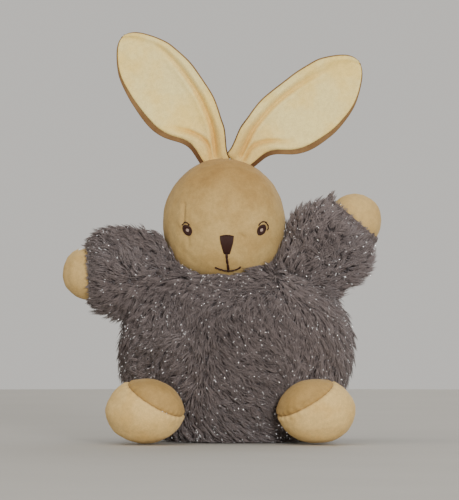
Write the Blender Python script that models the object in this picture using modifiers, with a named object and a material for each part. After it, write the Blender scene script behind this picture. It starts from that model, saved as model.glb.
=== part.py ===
"""A seated, round-bodied rabbit soft toy, modelled as the pieces that it is sewn and stuffed from.

Metres, +Z up. The toy sits on z = 0 and looks along -Y, and its own left side is +X.
Every limb, each ear and the head hang on a seam that bends. The seam's centre is that piece's
pivot, and the body leaves room around it for the whole range of the movement.
"""

from math import asin, atan2, cos, degrees, hypot, pi, radians, sin, sqrt

import bmesh
import bpy
from mathutils import Matrix, Vector

# Cloth and clearances
GAP = 0.0003  # between pieces that touch in the sewn toy
CLOTH = 0.0014  # velour with its backing
PILE = 0.0062  # fur fabric with its pile brushed down
ROOM = 0.0007  # between a moving piece and what it moves past
FACET_SLACK = 1.01  # a cutter's flat facets lie this much inside the curve that they stand for
FAR = 0.2  # past every piece, for cutting blocks

# Body: an egg on its side seams, cut flat by what it sits on
BODY_CENTRE = Vector((0.0035, 0.0, 0.058))
BODY_HALF = (0.0695, 0.0535, 0.0550, 0.0660)  # half width, half depth, rise, drop
BODY_FULLNESS = 0.85  # under 1 swells the sides past an ellipsoid
SEAT_HALF = (0.0330, 0.0250)
SEAT_THICKNESS = 0.0028
SEAT_CUT = 0.012  # how high the seat's hole is cut, past the fur
POUCH_HALF = (0.0300, 0.0220, 0.0160)
POUCH_BOTTOM = 0.0034
POUCH_RISE = 0.0060  # from its floor to its widest
POUCH_CLOTH = 0.0010
POUCH_SPOUT = 0.0030  # radius of the filling mouth

# Head: a ball below its middle, a little taller above it
HEAD_CENTRE = Vector((-0.0036, -0.0020, 0.1330))
HEAD_RADIUS = 0.0366
HEAD_RISE = 0.0386
NECK_HOLE = 0.0120
NECK_CUT = 0.08  # the height that the neck hole's cutter starts at, under the head
NECK_ROOM = 0.0020  # the chin's stitching turns inside this
NECK_WAD = (0.0006, 0.0036)  # the wad's inner and outer face, out from the head
NECK_WAD_ANGLE = 20  # degrees up from straight below the head

# Face stitching, as (x, z) on the front of the head
EYES = {"right": (-0.0259, 0.1290), "left": (0.0191, 0.1292)}
EYE_HALF = (0.0019, 0.0030)
EYE_TILT = 28  # degrees, tops leaning outwards
LID_CENTRE = (0.0006, 0.0022)  # out and up from the eye's centre
LID_HALF = (0.0023, 0.0023)
LID_ARC = (0.12, 0.88)  # its two ends, as shares of a half turn
NOSE_TOP = (-0.0021, 0.1262)
NOSE_HALF_WIDTH = 0.0042
NOSE_HEIGHT = 0.0116
NOSE_CORNER = 0.0008  # cut off each corner
MOUTH_CENTRE = (-0.0013, 0.1040)
MOUTH_HALF_WIDTH = 0.0073
MOUTH_RISE = 0.0028
LINE_ENDS = (0.0008, 0.0016)  # left clear under the nose and above the mouth
THREAD = 0.00035  # radius of a stitched line

# Ears: one outline, in millimetres along the ear from its pivot and across it to the outer side
EAR_OUTLINE = (
    (-5.4, 0.0),
    (0.0, 5.8),
    (6.0, 7.0),
    (13.0, 14.6),
    (24.0, 20.0),
    (42.0, 22.2),
    (60.0, 20.4),
    (75.0, 14.6),
    (84.5, 1.5),
    (77.0, -12.8),
    (62.0, -20.0),
    (42.0, -22.0),
    (22.0, -20.0),
    (7.0, -13.4),
    (0.0, -6.0),
)
EAR_PIVOTS = {"right": Vector((-0.0142, 0.0010, 0.1769)), "left": Vector((0.0128, 0.0010, 0.1752))}
EAR_LEANS = {"right": 33.5, "left": 51.5}  # degrees from upright, outwards
EAR_LAYERS = (("lining", 0.0012), ("wadding", 0.0020), ("back", 0.0012))

# Arms: turned about their own axis; stations are (distance from the pivot, radius)
ARM_PIVOTS = {"right": Vector((-0.0505, -0.0030, 0.1035)), "left": Vector((0.0530, -0.0030, 0.1080))}
ARM_RISES = {"right": 1.0, "left": 49.0}  # degrees above level at rest
ARM_RANGES = {"right": (-24, 24), "left": (-70, 5)}  # degrees from rest, up is positive
SLEEVE = ((-0.0100, 0.0128), (-0.0062, 0.0180), (0.0, 0.0222), (0.0080, 0.0252), (0.0170, 0.0266),
          (0.0255, 0.0250), (0.0320, 0.0216), (0.0350, 0.0192))
CUFF_BORE = 0.0172
CUFF_TURNING = (0.0006, 0.0020)  # the bore opens this much, this far up from the wrist
HAND_REACH = 0.0346
HAND_RADIUS = 0.0166
WRIST = (0.0262, 0.0128)  # where the hand's cloth ends inside the sleeve
WRIST_TURN = (0.0025, 0.0040)  # from there up to where its outer and inner faces become the ball
FILL_STEP = 0.0010  # the filling narrows to the wrist in steps of this length

# Legs: each foot is a flattened ball, hinged at its seam with the body
FOOT_CENTRES = {"right": Vector((-0.0502, -0.0530, 0.0198)), "left": Vector((0.0508, -0.0530, 0.0200))}
FOOT_HALF = Vector((0.0230, 0.0226, 0.0196))
ANKLE_BACK = 0.0150  # from the foot's centre back to its pivot
LEG_RANGE = (0, 35)  # degrees lifted
LIFT_STEPS = 7
SOLE_NORMALS = {"right": Vector((-0.522, 0.192, -0.830)), "left": Vector((0.522, 0.192, -0.830))}
SOLE_SHIFT = -0.0100  # the sole's seam lies high on the foot, on its inner side

# Tail and label
TAIL_CENTRE = Vector((0.0035, 0.0560, 0.0300))
TAIL_RADIUS = 0.0125
LABEL_SIZE = (0.0180, 0.0006, 0.0280)
LABEL_CENTRE = Vector((0.0350, 0.0490, 0.0300))
LABEL_TURN = -27  # degrees about Z, to lie along the back

# Facets: around, and from pole to pole
BODY_FACETS = (28, 14)
HEAD_FACETS = (24, 12)
FOOT_FACETS = (20, 10)
ARM_STEPS = 16
ROOM_FACETS = (20, 12)
POUCH_FACETS = (20, 10)
TAIL_FACETS = (16, 8)
EYE_FACETS = (12, 4)

SIDES = {"right": -1, "left": 1}


def clear_scene():
    for obj in list(bpy.data.objects):
        bpy.data.objects.remove(obj)


def collection(name):
    made = bpy.data.collections.new(name)
    bpy.context.scene.collection.children.link(made)
    return made


def material(name, colour, roughness):
    made = bpy.data.materials.new(name)
    made.use_nodes = True
    shader = made.node_tree.nodes["Principled BSDF"]
    shader.inputs["Base Color"].default_value = (*colour, 1.0)
    shader.inputs["Roughness"].default_value = roughness
    shader.inputs["Metallic"].default_value = 0.0
    return made


clear_scene()
TOY = collection("rabbit_soft_toy")
CUTTERS = collection("cutters")

TAN_VELOUR = material("tan_velour", (0.50, 0.35, 0.17), 0.85)
CREAM_VELOUR = material("cream_velour", (0.66, 0.57, 0.35), 0.85)
GREY_FUR = material("grey_fur", (0.115, 0.090, 0.090), 0.95)
BROWN_THREAD = material("brown_thread", (0.050, 0.012, 0.010), 0.55)
FIBRE_FILL = material("fibre_fill", (0.80, 0.79, 0.76), 0.95)
WOVEN_COTTON = material("woven_cotton", (0.72, 0.70, 0.64), 0.85)
PELLETS = material("plastic_pellets", (0.75, 0.75, 0.72), 0.40)


# Making objects


def add(name, mesh_or_curve, finish, place=None):
    """A sub-part of the toy, shaded smooth except across real edges."""
    obj = bpy.data.objects.new(name, mesh_or_curve)
    TOY.objects.link(obj)
    obj.data.materials.append(finish)
    if place:
        obj.matrix_world = place
    if obj.type == "MESH":
        obj.data.shade_smooth()
        obj.data.set_sharp_from_angle(angle=radians(40))
    return obj


def add_cutter(name, mesh):
    obj = bpy.data.objects.new(name, mesh)
    CUTTERS.objects.link(obj)
    obj.hide_render = True
    obj.display_type = "WIRE"
    return obj


def take_mesh(name, bm):
    mesh = bpy.data.meshes.new(name)
    bm.to_mesh(mesh)
    bm.free()
    return mesh


def carve(obj, *cutters):
    for cutter in cutters:
        cut = obj.modifiers.new(f"less {cutter.name}", "BOOLEAN")
        cut.operation = "DIFFERENCE"
        cut.solver = "EXACT"
        cut.object = cutter
    return obj


def hang_on(pivot_name, location, pieces):
    """Parents pieces to an empty on their joint's centre, leaving them where they are."""
    pivot = bpy.data.objects.new(pivot_name, None)
    pivot.empty_display_size = 0.01
    pivot.location = location
    TOY.objects.link(pivot)
    for piece in pieces:
        piece.parent = pivot
        piece.matrix_parent_inverse = Matrix.Translation(-Vector(location))


# Solid shapes


def ball(name, centre, half, facets, fullness=1.0):
    """A ball stretched to half = (x, y, up, down); fullness under 1 swells it between its poles."""
    bm = bmesh.new()
    bmesh.ops.create_uvsphere(bm, u_segments=facets[0], v_segments=facets[1], radius=1.0)
    for vert in bm.verts:
        x, y, z = vert.co
        out = hypot(x, y)
        swell = out ** (fullness - 1.0) if out > 1e-6 else 1.0
        rise = half[2] if z > 0 else half[3]
        vert.co = Vector(centre) + Vector((x * swell * half[0], y * swell * half[1], z * rise))
    return take_mesh(name, bm)


def block(name, low, high):
    bm = bmesh.new()
    bmesh.ops.create_cube(bm, size=1.0)
    low, high = Vector(low), Vector(high)
    for vert in bm.verts:
        vert.co = Vector(low[i] + (vert.co[i] + 0.5) * (high[i] - low[i]) for i in range(3))
    return take_mesh(name, bm)


def oval_disc(name, centre, half, low, high, steps=40):
    bm = bmesh.new()
    bmesh.ops.create_cone(bm, cap_ends=True, segments=steps, radius1=1, radius2=1, depth=high - low)
    for vert in bm.verts:
        x, y, z = vert.co
        vert.co = Vector((centre.x + x * half[0], centre.y + y * half[1], z + (low + high) / 2))
    return take_mesh(name, bm)


def turned(name, profile, closed, steps):
    """A profile of (radius, height), running down its outer side, swept once round Z."""
    bm = bmesh.new()
    verts = [bm.verts.new((radius, 0, height)) for radius, height in profile]
    for first, second in zip(verts, verts[1:]):
        bm.edges.new((first, second))
    if closed:
        bm.edges.new((verts[-1], verts[0]))
    guide = add_cutter(f"{name}_guide", take_mesh(name, bm))
    screw = guide.modifiers.new("sweep", "SCREW")
    screw.angle = 2 * pi
    screw.steps = screw.render_steps = steps
    screw.use_merge_vertices = True
    screw.merge_threshold = 0.00005
    graph = bpy.context.evaluated_depsgraph_get()
    mesh = bpy.data.meshes.new_from_object(guide.evaluated_get(graph))
    bpy.data.objects.remove(guide)
    return mesh


def tube(name, points, radius, finish):
    """A stitched line through points, with round ends filled in."""
    curve = bpy.data.curves.new(name, "CURVE")
    curve.dimensions = "3D"
    curve.bevel_depth = radius
    curve.bevel_resolution = 1
    curve.use_fill_caps = True
    line = curve.splines.new("POLY")
    line.points.add(len(points) - 1)
    for point, place in zip(line.points, points):
        point.co = (*place, 1.0)
    return add(name, curve, finish)


def plate(name, outline, thickness, place, finish, smooth=True):
    """A flat cut piece: a closed outline of (x, y), extruded evenly both ways."""
    curve = bpy.data.curves.new(name, "CURVE")
    curve.dimensions = "2D"
    curve.fill_mode = "BOTH"
    curve.extrude = thickness / 2
    curve.resolution_u = 4 if smooth else 1
    line = curve.splines.new("BEZIER")
    line.bezier_points.add(len(outline) - 1)
    for point, (x, y) in zip(line.bezier_points, outline):
        point.co = (x, y, 0)
        kind = "AUTO" if smooth else "VECTOR"
        point.handle_left_type = point.handle_right_type = kind
    line.use_cyclic_u = True
    return add(name, curve, finish, place)


def inset(half, depth):
    return tuple(size - depth for size in half)


def standing_on(axis, place):
    """The placing that turns local +Z onto axis and moves the origin to place."""
    return Matrix.Translation(place) @ Vector(axis).to_track_quat("Z", "Y").to_matrix().to_4x4()


# What the moving pieces sweep through


def arm_axis(side, degrees):
    return Vector((SIDES[side] * cos(radians(degrees)), 0, sin(radians(degrees))))


def arm_reach(angle):
    """How far an arm reaches from its pivot, at an angle off its own axis."""
    hand = HAND_REACH * sin(angle) / HAND_RADIUS
    reach = HAND_REACH * cos(angle) + HAND_RADIUS * cos(asin(hand)) if abs(hand) < 1 and angle < pi / 2 else 0
    polar = sorted((atan2(radius, along), hypot(radius, along)) for along, radius in SLEEVE)
    polar.append((pi, hypot(*SLEEVE[0])))
    previous = (0.0, polar[0][1])
    for here in polar:
        if angle <= here[0]:
            share = (angle - previous[0]) / max(here[0] - previous[0], 1e-9)
            return max(reach, previous[1] + share * (here[1] - previous[1]))
        previous = here
    return reach


def foot_reach(direction):
    """How far a foot reaches from its pivot along a direction: a ray leaving an ellipsoid."""
    start = Vector((0, ANKLE_BACK / FOOT_HALF.y, 0))
    ray = Vector(direction[i] / FOOT_HALF[i] for i in range(3))
    a, b, c = ray.dot(ray), start.dot(ray), start.dot(start) - 1
    return (-b + sqrt(b * b - a * c)) / a


def swept_room(name, pivot, reach):
    """A cutter round a pivot: each direction goes as far as the moving piece ever reaches, and ROOM more."""
    bm = bmesh.new()
    bmesh.ops.create_uvsphere(bm, u_segments=ROOM_FACETS[0], v_segments=ROOM_FACETS[1], radius=1.0)
    for vert in bm.verts:
        direction = vert.co.normalized()
        vert.co = pivot + direction * (reach(direction) + ROOM) * FACET_SLACK
    return add_cutter(name, take_mesh(name, bm))


def arm_room(side):
    """Room for an arm between the ends of its range, by the least angle off its axis."""
    low, high = (ARM_RISES[side] + turn for turn in ARM_RANGES[side])

    def reach(direction):
        level = atan2(direction.z, SIDES[side] * direction.x)
        nearest = min(max(level, radians(low)), radians(high))
        axis = arm_axis(side, degrees(nearest))
        return arm_reach(direction.angle(axis))

    return swept_room(f"arm_{side}_room", ARM_PIVOTS[side], reach)


def leg_room(side):
    """Room for a foot as it lifts, from poses every few degrees."""
    low, high = (radians(turn) for turn in LEG_RANGE)
    lifts = [low + (high - low) * step / LIFT_STEPS for step in range(LIFT_STEPS + 1)]

    def reach(direction):
        return max(foot_reach(Matrix.Rotation(lift, 3, "X") @ direction) for lift in lifts)

    pivot = FOOT_CENTRES[side] + Vector((0, ANKLE_BACK, 0))
    return swept_room(f"leg_{side}_room", pivot, reach)


# Body


def body_form(name, depth):
    return ball(name, BODY_CENTRE, inset(BODY_HALF, depth), BODY_FACETS, BODY_FULLNESS)


def make_body():
    under = add_cutter("under_floor", block("under_floor", (-FAR, -FAR, -FAR), (FAR, FAR, 0)))
    under_fill = add_cutter("under_fill", block("under_fill", (-FAR, -FAR, -FAR), (FAR, FAR, POUCH_BOTTOM)))
    seam = BODY_CENTRE.y
    behind = add_cutter("behind_seam", block("behind", (-FAR, seam - GAP / 2, -FAR), (FAR, FAR, FAR)))
    before = add_cutter("before_seam", block("before", (-FAR, -FAR, -FAR), (FAR, seam + GAP / 2, FAR)))
    cavity = add_cutter("body_cavity", body_form("body_cavity", PILE))
    seat_hole = add_cutter("seat_hole", oval_disc("seat_hole", BODY_CENTRE, SEAT_HALF, -SEAT_CUT, SEAT_CUT))
    neck = ball("neck_socket", HEAD_CENTRE, (HEAD_RADIUS + NECK_ROOM,) * 4, HEAD_FACETS)
    neck_socket = add_cutter("neck_socket", neck)
    deep = (HEAD_RADIUS + NECK_WAD[1] + GAP * 3,) * 4
    deep_socket = add_cutter("neck_wad_socket", ball("neck_wad_socket", HEAD_CENTRE, deep, HEAD_FACETS))
    limbs = [arm_room(side) for side in SIDES] + [leg_room(side) for side in SIDES]

    front = add("body_front_panel", body_form("body_front_panel", 0), GREY_FUR)
    carve(front, behind, cavity, under, seat_hole, neck_socket, *limbs)
    back = add("body_back_panel", body_form("body_back_panel", 0), GREY_FUR)
    carve(back, before, cavity, under, seat_hole, neck_socket, *limbs)

    seat = oval_disc("seat_panel", BODY_CENTRE, inset(SEAT_HALF, GAP), 0, SEAT_THICKNESS)
    add("seat_panel", seat, GREY_FUR)

    pouch_centre = Vector((BODY_CENTRE.x, 0, POUCH_BOTTOM + GAP + POUCH_RISE))
    pouch_room = add_cutter("pouch_room", pouch_form("pouch_room", pouch_centre, -GAP))
    fill = add("body_stuffing", body_form("body_stuffing", PILE + GAP), FIBRE_FILL)
    carve(fill, under_fill, deep_socket, pouch_room, *limbs)
    make_pouch(pouch_centre)


def pouch_form(name, centre, depth):
    return ball(name, centre, inset((*POUCH_HALF, POUCH_HALF[2]), depth), POUCH_FACETS)


def make_pouch(centre):
    """The pellet bag that weights the seat: a cloth shell with its filling mouth, and the pellets."""
    floor = POUCH_BOTTOM + GAP
    flat = add_cutter("pouch_floor", block("pouch_floor", (-FAR, -FAR, -FAR), (FAR, FAR, floor)))
    flat_inside = floor + POUCH_CLOTH
    flat_cut = block("pouch_inner_floor", (-FAR, -FAR, -FAR), (FAR, FAR, flat_inside))
    inner = add_cutter("pouch_inner", pouch_form("pouch_inner", centre, POUCH_CLOTH))
    carve(inner, add_cutter("pouch_inner_floor", flat_cut))
    spout = oval_disc("pouch_spout", centre, (POUCH_SPOUT, POUCH_SPOUT), centre.z, FAR, 12)
    bag = add("pellet_pouch", pouch_form("pellet_pouch", centre, 0), WOVEN_COTTON)
    carve(bag, flat, inner, add_cutter("pouch_spout", spout))
    flat_fill = block("pellet_floor", (-FAR, -FAR, -FAR), (FAR, FAR, flat_inside + GAP))
    pellets = add("pellets", pouch_form("pellets", centre, POUCH_CLOTH + GAP), PELLETS)
    carve(pellets, add_cutter("pellet_floor", flat_fill))


def make_tail_and_label():
    tail = add("tail", ball("tail", TAIL_CENTRE, (TAIL_RADIUS,) * 4, TAIL_FACETS), GREY_FUR)
    carve(tail, add_cutter("tail_base", body_form("tail_base", -GAP)))
    label = block("care_label", [-size / 2 for size in LABEL_SIZE], [size / 2 for size in LABEL_SIZE])
    turn = Matrix.Rotation(radians(LABEL_TURN), 4, "Z")
    add("care_label", label, WOVEN_COTTON, Matrix.Translation(LABEL_CENTRE) @ turn)


# Head


def head_form(name, depth):
    half = (HEAD_RADIUS, HEAD_RADIUS, HEAD_RISE, HEAD_RADIUS)
    return ball(name, HEAD_CENTRE, inset(half, depth), HEAD_FACETS)


def face_point(x, z, lift):
    """The point at (x, z) on the front of the head, raised off the cloth."""
    across, up = x - HEAD_CENTRE.x, z - HEAD_CENTRE.z
    tall = HEAD_RISE if up > 0 else HEAD_RADIUS
    forward = sqrt(1 - (across / HEAD_RADIUS) ** 2 - (up / tall) ** 2) * HEAD_RADIUS
    out = Vector((across / HEAD_RADIUS**2, -forward / HEAD_RADIUS**2, up / tall**2)).normalized()
    return HEAD_CENTRE + Vector((across, -forward, up)) + out * lift, out


def stitched_line(name, flat_points):
    lift = GAP + THREAD
    return tube(name, [face_point(x, z, lift)[0] for x, z in flat_points], THREAD, BROWN_THREAD)


def make_head():
    seam = HEAD_CENTRE.y
    behind = add_cutter("behind_face", block("behind_face", (-FAR, seam - GAP / 2, -FAR), (FAR, FAR, FAR)))
    before = add_cutter("before_nape", block("before_nape", (-FAR, -FAR, -FAR), (FAR, seam + GAP / 2, FAR)))
    cavity = add_cutter("head_cavity", head_form("head_cavity", CLOTH))
    hole_top = HEAD_CENTRE.z - HEAD_RADIUS / 2
    hole = oval_disc("neck_hole", HEAD_CENTRE, (NECK_HOLE, NECK_HOLE), NECK_CUT, hole_top, 24)
    neck_hole = add_cutter("neck_hole", hole)
    pieces = []
    for name, half_space in (("head_face_panel", behind), ("head_back_panel", before)):
        panel = add(name, head_form(name, 0), TAN_VELOUR)
        pieces.append(carve(panel, half_space, cavity, neck_hole))
    pieces.append(add("head_stuffing", head_form("head_stuffing", CLOTH + GAP), FIBRE_FILL))
    pieces += make_eyes() + make_nose_and_mouth()
    hang_on("head_pivot", HEAD_CENTRE, pieces)
    hang_on("neck_pivot", HEAD_CENTRE, [make_neck_wad()])


def make_neck_wad():
    """The cup of wadding in the neck seam, which the ball of the head turns in."""
    inner, outer = (HEAD_RADIUS + face for face in NECK_WAD)
    angles = [radians(NECK_WAD_ANGLE) * step / 4 for step in range(5)]
    outside = [(outer * sin(a), -outer * cos(a)) for a in reversed(angles)]
    inside = [(inner * sin(a), -inner * cos(a)) for a in angles]
    wad = turned("neck_wadding", inside + outside, False, 16)
    return add("neck_wadding", wad, FIBRE_FILL, Matrix.Translation(HEAD_CENTRE))


def make_eyes():
    pieces = []
    for side, sign in SIDES.items():
        x, z = EYES[side]
        place, out = face_point(x, z, GAP + THREAD)
        eye = ball(f"eye_{side}", (0, 0, 0), (*EYE_HALF, THREAD, THREAD), EYE_FACETS)
        tilt = Matrix.Rotation(radians(-sign * EYE_TILT), 4, "Z")
        pieces.append(add(f"eye_{side}", eye, BROWN_THREAD, standing_on(out, place) @ tilt))
        lid_x, lid_z = x + sign * LID_CENTRE[0], z + LID_CENTRE[1]
        arc = []
        for step in range(9):
            turn = pi * (LID_ARC[0] + (LID_ARC[1] - LID_ARC[0]) * step / 8)
            arc.append((lid_x + LID_HALF[0] * cos(turn), lid_z + LID_HALF[1] * sin(turn)))
        pieces.append(stitched_line(f"eyelid_{side}", arc))
    return pieces


def make_nose_and_mouth():
    x, z = NOSE_TOP
    middle, out = face_point(x, z - NOSE_HEIGHT / 2, GAP + THREAD)
    half, tall = NOSE_HALF_WIDTH, NOSE_HEIGHT / 2
    outline = [
        (-half + NOSE_CORNER, tall),
        (half - NOSE_CORNER, tall),
        (half, tall - NOSE_CORNER * 2),
        (NOSE_CORNER, -tall),
        (-NOSE_CORNER, -tall),
        (-half, tall - NOSE_CORNER * 2),
    ]
    place = standing_on(out, middle)
    nose = plate("nose", outline, THREAD * 2, place, BROWN_THREAD, smooth=False)
    mouth_x, mouth_z = MOUTH_CENTRE
    top, low = z - NOSE_HEIGHT - LINE_ENDS[0], mouth_z + LINE_ENDS[1] - LINE_ENDS[0]
    drop = [(x + (mouth_x - x) * s, top + (low - top) * s) for s in (0, 0.5, 1)]
    line = stitched_line("nose_to_mouth_line", drop)
    smile = [
        (mouth_x + MOUTH_HALF_WIDTH * s / 5, mouth_z + MOUTH_RISE * (s / 5) ** 2) for s in range(-5, 6)
    ]
    return [nose, line, stitched_line("mouth", smile)]


# Ears


def make_ears():
    depth = sum(thickness + GAP for _, thickness in EAR_LAYERS) - GAP
    for side, sign in SIDES.items():
        lean = radians(EAR_LEANS[side])
        along = Vector((sign * sin(lean), 0, cos(lean)))
        outwards = Vector((sign * cos(lean), 0, -sin(lean)))
        outline = [(sign * across / 1000, length / 1000) for length, across in EAR_OUTLINE]
        front = -depth / 2
        pieces = []
        for layer, thickness in EAR_LAYERS:
            centre = EAR_PIVOTS[side] + Vector((0, front + thickness / 2, 0))
            x_axis, z_axis = outwards * sign, Vector((0, -1, 0))
            turn = Matrix((x_axis, along, z_axis)).transposed().to_4x4()
            finish = {"lining": CREAM_VELOUR, "wadding": FIBRE_FILL, "back": TAN_VELOUR}[layer]
            place = Matrix.Translation(centre) @ turn
            pieces.append(plate(f"ear_{side}_{layer}", outline, thickness, place, finish))
            front += thickness + GAP
        hang_on(f"ear_{side}_pivot", EAR_PIVOTS[side], pieces)


# Arms


def sleeve_radius(along):
    for (a, ra), (b, rb) in zip(SLEEVE, SLEEVE[1:]):
        if along <= b:
            return ra + (rb - ra) * (along - a) / (b - a)
    return SLEEVE[-1][1]


def hand_arc(radius, start, steps):
    """(radius, height) round the hand's ball, from its tip down to height start."""
    last = pi / 2 + asin((HAND_REACH - start) / radius)
    angles = [last * step / steps for step in range(steps + 1)]
    return [(radius * sin(a), HAND_REACH + radius * cos(a)) for a in angles]


def sleeve_profile():
    outside = [(radius, along) for along, radius in reversed(SLEEVE)]
    inside = [(radius - PILE, along) for along, radius in SLEEVE if along < WRIST[0]]
    turned_in = (CUFF_BORE + CUFF_TURNING[0], WRIST[0] + CUFF_TURNING[1])
    return outside + inside + [turned_in, (CUFF_BORE, SLEEVE[-1][0])]


def hand_profile():
    outside = hand_arc(HAND_RADIUS, WRIST[0] + WRIST_TURN[0], 7) + [(WRIST[1], WRIST[0])]
    inside = hand_arc(HAND_RADIUS - CLOTH, WRIST[0] + WRIST_TURN[1], 5)
    return outside + [(WRIST[1] - CLOTH, WRIST[0])] + inside[::-1]


def arm_fill_profile():
    ball_part = hand_arc(HAND_RADIUS - CLOTH - GAP, WRIST[0] + WRIST_TURN[1], 5)
    neck = WRIST[1] - CLOTH - GAP
    shoulder = WRIST[0] - FILL_STEP * 3
    narrow = [(neck, WRIST[0]), (neck, WRIST[0] - FILL_STEP)]
    narrow.append((sleeve_radius(shoulder) - PILE - GAP, WRIST[0] - FILL_STEP * 2))
    wide = [(radius - PILE - GAP, along) for along, radius in reversed(SLEEVE) if along < shoulder]
    return ball_part + narrow + wide + [(0, SLEEVE[0][0])]


def make_arms():
    for side in SIDES:
        place = standing_on(arm_axis(side, ARM_RISES[side]), ARM_PIVOTS[side])
        sleeve = add(f"sleeve_{side}", turned("sleeve", sleeve_profile(), True, ARM_STEPS), GREY_FUR, place)
        hand = add(f"hand_{side}", turned("hand", hand_profile(), False, ARM_STEPS), TAN_VELOUR, place)
        fill = turned("arm_fill", arm_fill_profile(), False, ARM_STEPS)
        stuffing = add(f"arm_{side}_stuffing", fill, FIBRE_FILL, place)
        hang_on(f"arm_{side}_pivot", ARM_PIVOTS[side], [sleeve, hand, stuffing])


# Legs


def foot_form(name, side, depth):
    half = FOOT_HALF - Vector((depth,) * 3)
    return ball(name, FOOT_CENTRES[side], (*half, half.z), FOOT_FACETS)


def half_space(name, point, normal):
    """A large block that fills the side of a plane that normal points to."""
    reach = 0.1
    obj = add_cutter(name, block(name, (-reach, -reach, 0), (reach, reach, 2 * reach)))
    obj.matrix_world = standing_on(normal, point)
    return obj


def make_legs():
    for side in SIDES:
        facing = SOLE_NORMALS[side]
        seam = FOOT_CENTRES[side] + facing * SOLE_SHIFT
        ahead = half_space(f"sole_side_{side}", seam - facing * GAP / 2, facing)
        astern = half_space(f"upper_side_{side}", seam + facing * GAP / 2, -facing)
        cavity = add_cutter(f"foot_{side}_cavity", foot_form("foot_cavity", side, CLOTH))
        upper = add(f"foot_{side}_upper", foot_form("foot_upper", side, 0), TAN_VELOUR)
        carve(upper, ahead, cavity)
        sole = add(f"foot_{side}_sole", foot_form("foot_sole", side, 0), TAN_VELOUR)
        carve(sole, astern, cavity)
        stuffing = add(f"foot_{side}_stuffing", foot_form("foot_fill", side, CLOTH + GAP), FIBRE_FILL)
        pivot = FOOT_CENTRES[side] + Vector((0, ANKLE_BACK, 0))
        hang_on(f"leg_{side}_pivot", pivot, [upper, sole, stuffing])


make_body()
make_tail_and_label()
make_head()
make_ears()
make_arms()
make_legs()
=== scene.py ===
import math
import bpy
import numpy as np
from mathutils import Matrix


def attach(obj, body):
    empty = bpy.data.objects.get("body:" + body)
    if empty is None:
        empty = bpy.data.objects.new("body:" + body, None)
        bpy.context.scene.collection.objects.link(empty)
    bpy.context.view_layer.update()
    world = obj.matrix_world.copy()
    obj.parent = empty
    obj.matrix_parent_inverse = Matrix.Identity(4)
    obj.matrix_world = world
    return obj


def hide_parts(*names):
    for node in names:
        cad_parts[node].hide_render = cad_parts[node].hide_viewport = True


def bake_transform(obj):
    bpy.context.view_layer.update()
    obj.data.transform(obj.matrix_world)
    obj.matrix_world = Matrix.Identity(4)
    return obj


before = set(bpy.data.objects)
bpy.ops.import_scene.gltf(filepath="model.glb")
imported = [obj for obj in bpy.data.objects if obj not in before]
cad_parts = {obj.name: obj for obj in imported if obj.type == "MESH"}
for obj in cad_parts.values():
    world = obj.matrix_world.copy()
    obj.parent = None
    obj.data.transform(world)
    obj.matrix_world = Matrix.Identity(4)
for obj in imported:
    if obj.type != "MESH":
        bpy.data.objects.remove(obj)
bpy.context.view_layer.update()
print("frame loaded:", len(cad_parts), "sewn parts")

# camera, level and far back, so the toy keeps its upright proportions
eyePoint = {"across": -0.0003, "distance": 3.00, "height": 0.105, "lens": 355.8, "shiftY": 0.0372}
camera = bpy.data.objects.new("camera", bpy.data.cameras.new("camera"))
bpy.context.scene.collection.objects.link(camera)
camera.location = (eyePoint["across"], -eyePoint["distance"], eyePoint["height"])
camera.rotation_euler = (math.radians(90), 0, 0)
camera.data.lens = eyePoint["lens"]
camera.data.shift_y = eyePoint["shiftY"]
camera.data.dof.use_dof = False
bpy.context.scene.camera = camera


# meshes from whole arrays

def putMesh(name, points, faces, materials=(), slots=None, smooth=True, flip=False):
    # points is (n, 3) and faces a list of index arrays, one array for each number of corners
    mesh = bpy.data.meshes.new(name)
    points = np.asarray(points, np.float32).reshape(-1, 3)
    faces = [np.asarray(f) for f in faces if len(f)]
    if flip:
        faces = [f[:, ::-1] for f in faces]
    sizes = np.concatenate([np.full(len(f), f.shape[1]) for f in faces])
    mesh.vertices.add(len(points))
    mesh.vertices.foreach_set("co", points.ravel())
    mesh.loops.add(int(sizes.sum()))
    mesh.loops.foreach_set("vertex_index", np.concatenate([f.ravel() for f in faces]).astype(np.int32))
    mesh.polygons.add(len(sizes))
    mesh.polygons.foreach_set("loop_start", np.concatenate([[0], np.cumsum(sizes)[:-1]]).astype(np.int32))
    mesh.update(calc_edges=True)
    mesh.validate()
    for material in materials:
        mesh.materials.append(material)
    if slots is not None:
        mesh.polygons.foreach_set("material_index", np.asarray(slots, np.int32))
    mesh.polygons.foreach_set("use_smooth", np.full(len(mesh.polygons), smooth))
    obj = bpy.data.objects.new(name, mesh)
    bpy.context.scene.collection.objects.link(obj)
    return obj


def readPoints(mesh):
    flat = np.empty(len(mesh.vertices) * 3, np.float32)
    mesh.vertices.foreach_get("co", flat)
    return flat.reshape(-1, 3).astype(float)


def unit(v):
    return v / np.maximum(np.linalg.norm(v, axis=-1, keepdims=True), 1e-12)


def basis(axis):
    # two directions square to axis, so that first x second = axis
    w = unit(np.asarray(axis, float))
    first = unit(np.cross((0.0, 1.0, 0.0) if abs(w[1]) < 0.9 else (1.0, 0.0, 0.0), w))
    return first, np.cross(w, first), w


def roundTurns(count):
    return np.linspace(0, 2 * np.pi, count, endpoint=False)


def pairGrid(a, b):
    # every pair of the two lists, row by row, as two flat arrays
    return [g.ravel() for g in np.meshgrid(a, b, indexing="ij")]


def gridFaces(rows, cols, closed=False):
    # the quads between neighbours of a grid, and from its last column to its first if it is closed
    i = np.arange(rows - 1)[:, None] * cols
    j = np.arange(cols if closed else cols - 1)[None, :]
    k = (j + 1) % cols
    return np.stack([i + j, i + cols + j, i + cols + k, i + k], -1).reshape(-1, 4)


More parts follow.
